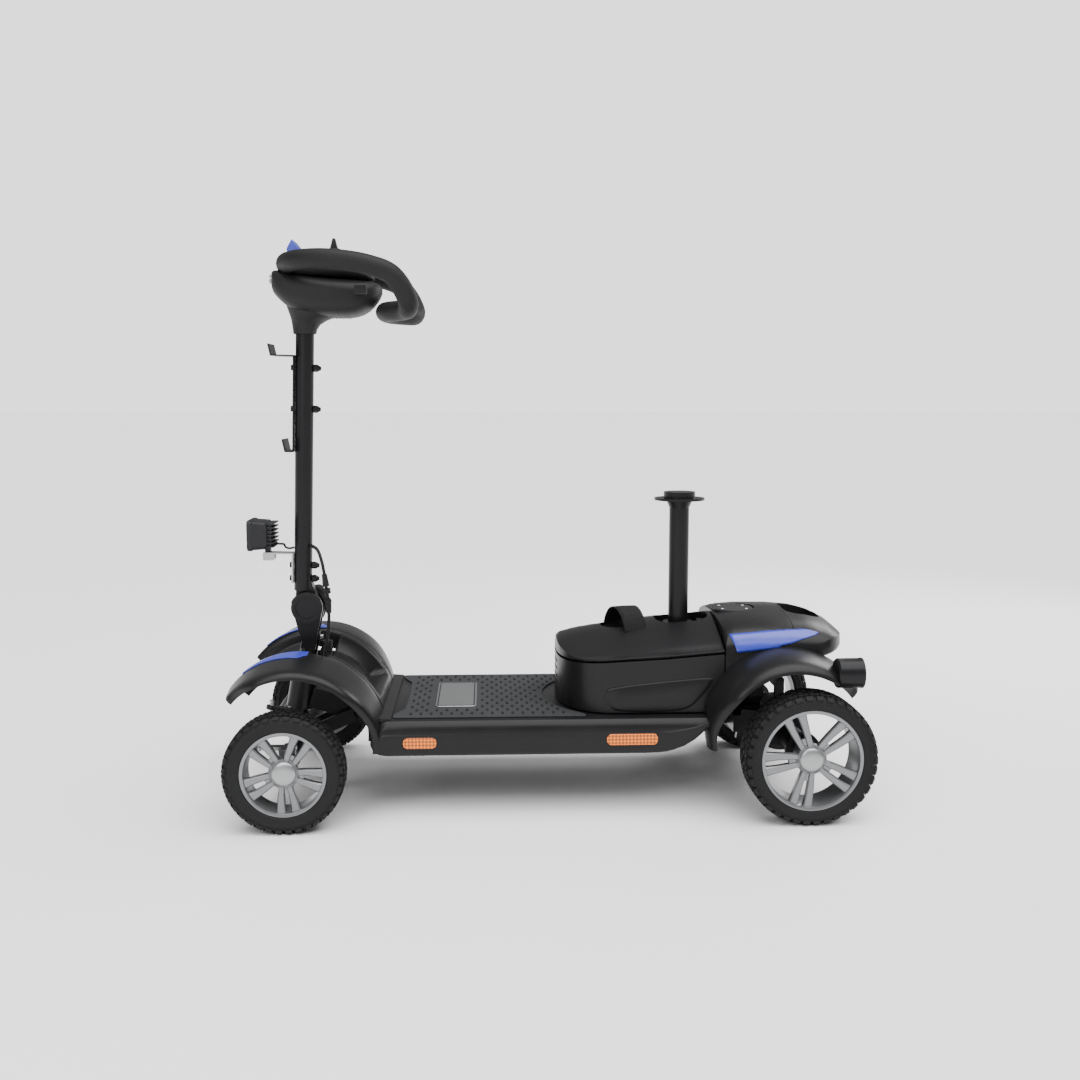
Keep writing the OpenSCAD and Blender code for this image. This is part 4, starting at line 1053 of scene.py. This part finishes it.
def rear_plan():
    """The rear cover from above: square at the seam, and a broad round tail."""
    seam, tail, round_end = 741, 966, 78
    nose = [(x, -y) for x, y in reversed(blunt_plan(0, 200, 150, round_end, 2.5, 30))]
    straight = (tail - round_end - seam) / 122
    return [(tail - x if x < round_end else tail - round_end - (x - round_end) * straight, y) for x, y in nose]


class SCOOTER_OT_rear_body(Maker, bpy.types.Operator):
    """Makes the rear cover, its carrying tail, the top panel, the blue blades and the tail lamps"""

    bl_idname = "scooter.rear_body"
    bl_label = "Rear body"

    def make(self):
        bm = bmesh.new()
        crowned_body(bm, rear_plan(), (800, 905), rear_foot, lambda x, y: rear_foot(x) + (9 if x > 775 else 30),
                     rear_top, SHARES)
        cover = piece("rear_cover_moulding", bm, "Satin cover", "chassis", ["rear_cover", "rear_handle"], 38)
        cut(cover, cutter_of("handle", flat, rounded(64, 110, 26, 8, 901, 0), 230, 360),
            cutter_of("pocket", flat, rounded(76, 76, 30, 8, 781, 0), 323.5, 350),
            cutter_of("seam", flat, [(863.6, -160), (864.4, -160), (864.4, 160), (863.6, 160)], 303, 350),
            cutter_of("inside", slab, [(744, 206), (852, 206), (852, 312), (744, 312)], -84, 84))
        bevel_edges(cover, 1.1, 3, 42)
        inlay = fresh(flat, rounded(73, 73, 29, 8, 781, 0), 321.5, 325.6)
        bevel_edges(piece("rear_top_inlay", inlay, "Panel grey", "chassis", ["rear_top_panel"], 35), 0.9, 2, 40)
        bm = bmesh.new()
        screw = [(0.01, 0.9), (2.4, 1.0), (3.2, 0.3), (3.2, -1), (0.01, -1)]
        for x in (759, 803):
            for y in (-18, 18):
                turned(bm, screw, at(x, y, 325.4), "Z", 20, False)
        piece("rear_top_screws", bm, "Plain steel", "chassis", [], 40)
        self.blades()
        self.lamps()

    def blades(self):
        """Blue blades that follow the cover's skin, square in front and drawn to a point behind."""
        upper = ((749, 303), (820, 309), (882, 312), (906, 305))
        lower = ((761, 272), (828, 279), (870, 290), (906, 304))
        for side, tag in SIDES:
            rows = []
            for i in range(29):
                row = []
                for u in (0, 0.125, 0.25, 0.375, 0.5, 0.625, 0.75, 0.875, 1):
                    x0, x1 = 749 + 157 * i / 28, 761 + 145 * i / 28
                    z = lerp_table(upper, x0) * (1 - u) + lerp_table(lower, x1) * u
                    y, z = self.skin(x0 + (x1 - x0) * u, z, 0.9)
                    row.append(at(x0 + (x1 - x0) * u, side * y, z))
                rows.append(row)
            skin_piece("rear_blade_" + tag, rows, lambda face: face.normal.y * side, "Accent blue", "chassis",
                       ["rear_trims"] if side < 0 else [], 40, 0.0026)

    def skin(self, x, z, out):
        """Where a sight line that crosses the side at a height meets the cover, moved out a little."""
        reach = 150 if x < 888 else 150 * max(0.0, 1 - ((x - 888) / 78) ** 2.5) ** 0.4
        if z <= lerp_table(REAR_TOP, x) - REAR_FALL[-1][1]:
            return reach + out, z
        y = reach
        while y > 20 and lerp_table(REAR_TOP, x) - lerp_table(REAR_FALL, y) + 0.185 * (150 - y) < z:
            y -= 1
        return y + out * 0.6, lerp_table(REAR_TOP, x) - lerp_table(REAR_FALL, y) + out * 0.8

    def lamps(self):
        """Two round tail lamps: a black body and a red lens each."""
        body = [(0.01, 912), (23, 912), (25, 914.5), (25, 950), (25.6, 952), (25.6, 955.4), (23.4, 956), (22.4, 953),
                (0.01, 953)]
        lens = [(0.01, 957.2), (14, 956.8), (20, 955.8), (22, 953.4), (0.01, 953.4)]
        for side, tag in SIDES:
            for part, profile, finish_name, node, angle in (("body", body, "Black steel", "tail_lamps", 35),
                                                            ("lens", lens, "Red prisms", "tail_lenses", 40)):
                piece(f"tail_lamp_{part}_{tag}", fresh(turned, profile, at(0, side * 222, 251), "X", 40, False),
                      finish_name, "chassis", [node] if side < 0 else [], angle)


# ---------- tiller ----------

HEAD_X, GRIP_Z = 13.7, 942
DIAL_X = 67.7


def pod_rings(stations, count=36):
    """Rings across the head: (x, half width, low z, high z, roundness)."""
    rings = []
    for x, half, low, high, power in stations:
        rows = []
        for i in range(count):
            a = TURN * i / count
            rows.append(at(x, half * blunt(math.cos(a), power),
                           (low + high) / 2 + (high - low) / 2 * blunt(math.sin(a), power)))
        rings.append(rows)
    return rings


class SCOOTER_OT_head(Maker, bpy.types.Operator):
    """Makes the control head: its two shells, peak, lens, collar and the grip loop"""

    bl_idname = "scooter.head"
    bl_label = "Control head"

    def make(self):
        lower = [(-41, 10, 898, 925, 2.6), (-38.5, 28, 889, 927, 2.8), (-30, 42, 879, 928, 2.8),
                 (-14, 51, 864, 926, 2.8),
                 (4, 57, 855, 922, 2.8), (30, 61, 849, 918, 3), (62, 62, 846, 915, 3), (94, 60, 845, 913, 3),
                 (118, 55, 850, 911, 2.8), (136, 45, 864, 908, 2.6), (147, 30, 880, 904, 2.3), (151, 9, 889, 898, 2)]
        shell = piece("head_lower_shell", fresh(loft, pod_rings(lower)), "Grained cover",
                      "column", ["console_lower"], 60)
        modifier(shell, "SUBSURF", levels=1, render_levels=1)
        upper = [(-18, 20, 922, 934, 2), (-8, 38, 916, 943, 2.3), (14, 49, 913, 952, 2.5), (42, 54, 913, 957, 2.6),
                 (70, 54, 913, 957, 2.6), (94, 51, 912, 951, 2.6), (114, 45, 911, 940, 2.4), (129, 34, 910, 927, 2.2),
                 (138, 14, 910, 917, 2)]
        crown = piece("head_upper_shell", fresh(loft, pod_rings(upper)), "Grained cover",
                      "column", ["console_upper"], 60)
        modifier(crown, "SUBSURF", levels=1, render_levels=1)
        rings = []
        for z, front, back, half in (
                (818, -5.6, 33, 19.3), (819.5, -6.6, 34, 20.3), (826, -7, 35.5, 20.8), (834, -8, 41, 23),
                (841, -9, 52, 28), (847, -10.5, 66, 35), (858, -14, 80, 42), (872, -19, 90, 45)):
            rings.append([at((front + back) / 2 + (back - front) / 2 * math.cos(a), half * math.sin(a), z)
                          for a in [TURN * i / 48 for i in range(48)]])
        piece("head_collar", fresh(loft, rings), "Grained cover", "column", [], 50)
        peak = fresh(slab, [(-11, 962), (-1.5, 979), (9, 966), (24, 950), (-6, 945)], -30, 30)
        bevel_edges(piece("head_peak", peak, "Accent blue", "column", ["console_hood"], 40), 2.2, 3, 30)
        lens = [upright(-38 - out, 911, 44 - g, 17 - g, 7 - g / 2) for out, g in ((-4, 0), (4.4, 0), (5.4, 2))]
        piece("head_lens", fresh(loft, lens), "Clear prisms", "column", ["front_lens"], 40)
        self.grip()
        self.vents()
        self.dial()

    def dial(self):
        """The speed dial: a round skirt with a tall finger ridge."""
        bm = bmesh.new()
        turned(bm, [(0.01, 957.8), (12.6, 957.8), (13.4, 959), (13.0, 961.5), (10.4, 965.5), (0.01, 966.5)],
               at(DIAL_X, 0, 0), "Z", 40, False)
        ridge = [(7.4, 9.6, 964.6), (5.6, 9.8, 969), (3.6, 9.2, 976), (2.6, 8.2, 981), (1.8, 7.0, 983)]
        loft(bm, [[at(DIAL_X + x, y, z) for x, y in rounded(2 * wide, 2 * deep, min(wide, deep) * 0.6, 4)]
                  for wide, deep, z in ridge])
        piece("speed_dial_knob", bm, "Grained cover", "speed_dial", ["speed_dial"], 35)

    def grip(self):
        """The closed foam loop, from the head round both hands and under the head again."""
        rows = [(-28, 0, -6), (-22, 42, -5), (2, 84, -5), (45, 106, -5), (94, 117, -10), (130, 122, -18),
                (158, 124, -29), (176, 123, -48), (188, 119, -72), (188, 102, -84), (180, 78, -87), (152, 40, -87),
                (142, 0, -86)]
        loop = rows + [(x, -y, z) for x, y, z in reversed(rows[1:-1])]
        line = smooth_path([at(HEAD_X + x, y, GRIP_Z + z) for x, y, z in loop], 8, True)
        foam = tube("grip_loop_foam", line, 0.0172, "Soft grip", True, 7)
        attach(foam, "column")
        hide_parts("grip_loop")

    def vents(self):
        """Speaker slots under the back of the head."""
        bm = bmesh.new()
        for i in range(6):
            bar(bm, (2.2, 44, 2.6), Matrix.Translation(at(62 + i * 6, 0, 847.2)))
        piece("head_vents", bm, "Panel grey", "column", [], 30, 1e-7)


LIGHT_Z = 464


class SCOOTER_OT_headlight(Maker, bpy.types.Operator):
    """Makes the headlight: its finned body, bezel and lens"""

    bl_idname = "scooter.headlight"
    bl_label = "Headlight"

    def make(self):
        rings = [upright(x, LIGHT_Z, w, h, r) for x, w, h, r in (
            (-92, 66, 52, 7), (-90.5, 69, 55, 8), (-84, 69, 55, 8), (-82, 66, 52, 8), (-60, 62, 49, 8),
            (-57, 58, 45, 8))]
        body = piece("headlight_shell", fresh(loft, rings), "Dark casting", "headlight", ["headlight_body"], 35)
        cut(body, cutter_of("lens", bar, (8, 58, 44), Matrix.Translation(at(-91, 0, LIGHT_Z))))
        bevel_edges(body, 0.9, 2, 40)
        bm = bmesh.new()
        for i in range(7):
            bar(bm, (12, 58, 2.4), Matrix.Translation(at(-51, 0, 444 + i * 6.8)))
        bar(bm, (6, 50, 42), Matrix.Translation(at(-55, 0, LIGHT_Z)))
        turned(bm, [(3.2, -9), (6.4, -9), (6.4, 9), (3.2, 9)], at(-60, 0, 428), "Y", 24)
        bar(bm, (9, 17, 11), Matrix.Translation(at(-60, 0, 436)))
        bevel_edges(piece("headlight_fins", bm, "Dark casting", "headlight", [], 35, 1e-7), 0.5, 1, 40)
        glass = [upright(x, LIGHT_Z, w, h, 5) for x, w, h in ((-87.2, 57, 43), (-89.4, 57, 43), (-90.4, 53, 39))]
        piece("headlight_glass", fresh(loft, glass), "Clear prisms", "headlight", ["headlight_lens"], 40)


# the middles of the cable and of the lead, from end to end
CABLE_ROUTE = [(16.6, -9.6, 445), (30, -20, 438), (38, -28, 420), (43, -33, 398), (46, -33, 374),
               (49, -33, 350), (50, -33, 326), (49, -33, 300), (45, -33, 272), (40, -33, 246)]
LEAD_ROUTE = [(-49, 0, 452), (-42, 0, 447), (-32, 0, 446), (-30, 0, 442), (-26, 0, 439), (-20, 0, 438.5), (-14, 0, 440)]


class SCOOTER_OT_cables(Maker, bpy.types.Operator):
    """Makes the tiller cable and the headlight's lead"""

    bl_idname = "scooter.cables"
    bl_label = "Cables"

    def make(self):
        line = smooth_path([at(*p) for p in CABLE_ROUTE], 6)
        cable = tube("tiller_cable_line", line, sizes().cable / 2, "Cable jacket", False, 4)
        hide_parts("tiller_cable")
        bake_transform(cable)
        lead = tube("headlight_lead", smooth_path([at(*p) for p in LEAD_ROUTE], 5), 0.002, "Cable jacket", False, 4)
        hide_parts("lamp_lead")
        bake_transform(lead)


CLAMP = (10, 334)


class SCOOTER_OT_fold(Maker, bpy.types.Operator):
    """Makes the lobed clamp knob at the fold"""

    bl_idname = "scooter.fold"
    bl_label = "Clamp knob"

    def make(self):
        rings = []
        for y, scale in ((22.4, 0.82), (24, 0.94), (27, 1.0), (42, 1.0), (45, 0.95), (46, 0.84)):
            angles = [TURN * i / 72 for i in range(72)]
            rings.append([on_arc(CLAMP, (33.2 + 2.8 * math.cos(6 * a)) * scale, a, y) for a in angles])
        bm = fresh(loft, rings)
        turned(bm, [(0.01, 20.5), (15, 20.5), (15, 23), (0.01, 23)], at(CLAMP[0], 0, CLAMP[1]), "Y", 32, False)
        bevel_edges(piece("clamp_knob", bm, "Grained cover", "fold_knob", ["fold_knob"], 38), 0.6, 1, 45)


# ---------- panel and registration ----------

STEPS = (SCOOTER_OT_stage, SCOOTER_OT_finishes, SCOOTER_OT_tyres, SCOOTER_OT_wheels, SCOOTER_OT_floor,
         SCOOTER_OT_front_shroud, SCOOTER_OT_rear_fenders, SCOOTER_OT_battery, SCOOTER_OT_strap,
         SCOOTER_OT_rear_body, SCOOTER_OT_head, SCOOTER_OT_headlight, SCOOTER_OT_cables, SCOOTER_OT_fold)


class SCOOTER_PT_panel(bpy.types.Panel):
    """Lists the makers in the 3D view's sidebar"""

    bl_label = "Scooter"
    bl_idname = "SCOOTER_PT_panel"
    bl_space_type = "VIEW_3D"
    bl_region_type = "UI"
    bl_category = "Scooter"

    def draw(self, context):
        """Shows the settings, then a button for each maker."""
        for group in (context.scene.scooter_sizes, context.scene.scooter_colours):
            for name in group.__annotations__:
                self.layout.prop(group, name)
        for step in STEPS:
            self.layout.operator(step.bl_idname)


CLASSES = (ScooterSizes, ScooterColours, *STEPS, SCOOTER_PT_panel)


def register():
    """Adds the classes and the scene's settings."""
    for cls in CLASSES:
        bpy.utils.register_class(cls)
    bpy.types.Scene.scooter_sizes = bpy.props.PointerProperty(type=ScooterSizes)
    bpy.types.Scene.scooter_colours = bpy.props.PointerProperty(type=ScooterColours)


def unregister():
    """Takes away what register adds."""
    del bpy.types.Scene.scooter_sizes
    del bpy.types.Scene.scooter_colours
    for cls in reversed(CLASSES):
        bpy.utils.unregister_class(cls)


def main():
    """Makes everything in order."""
    register()
    for step in STEPS:
        group, name = step.bl_idname.split(".")
        getattr(getattr(bpy.ops, group), name)()


if __name__ == "__main__":
    main()
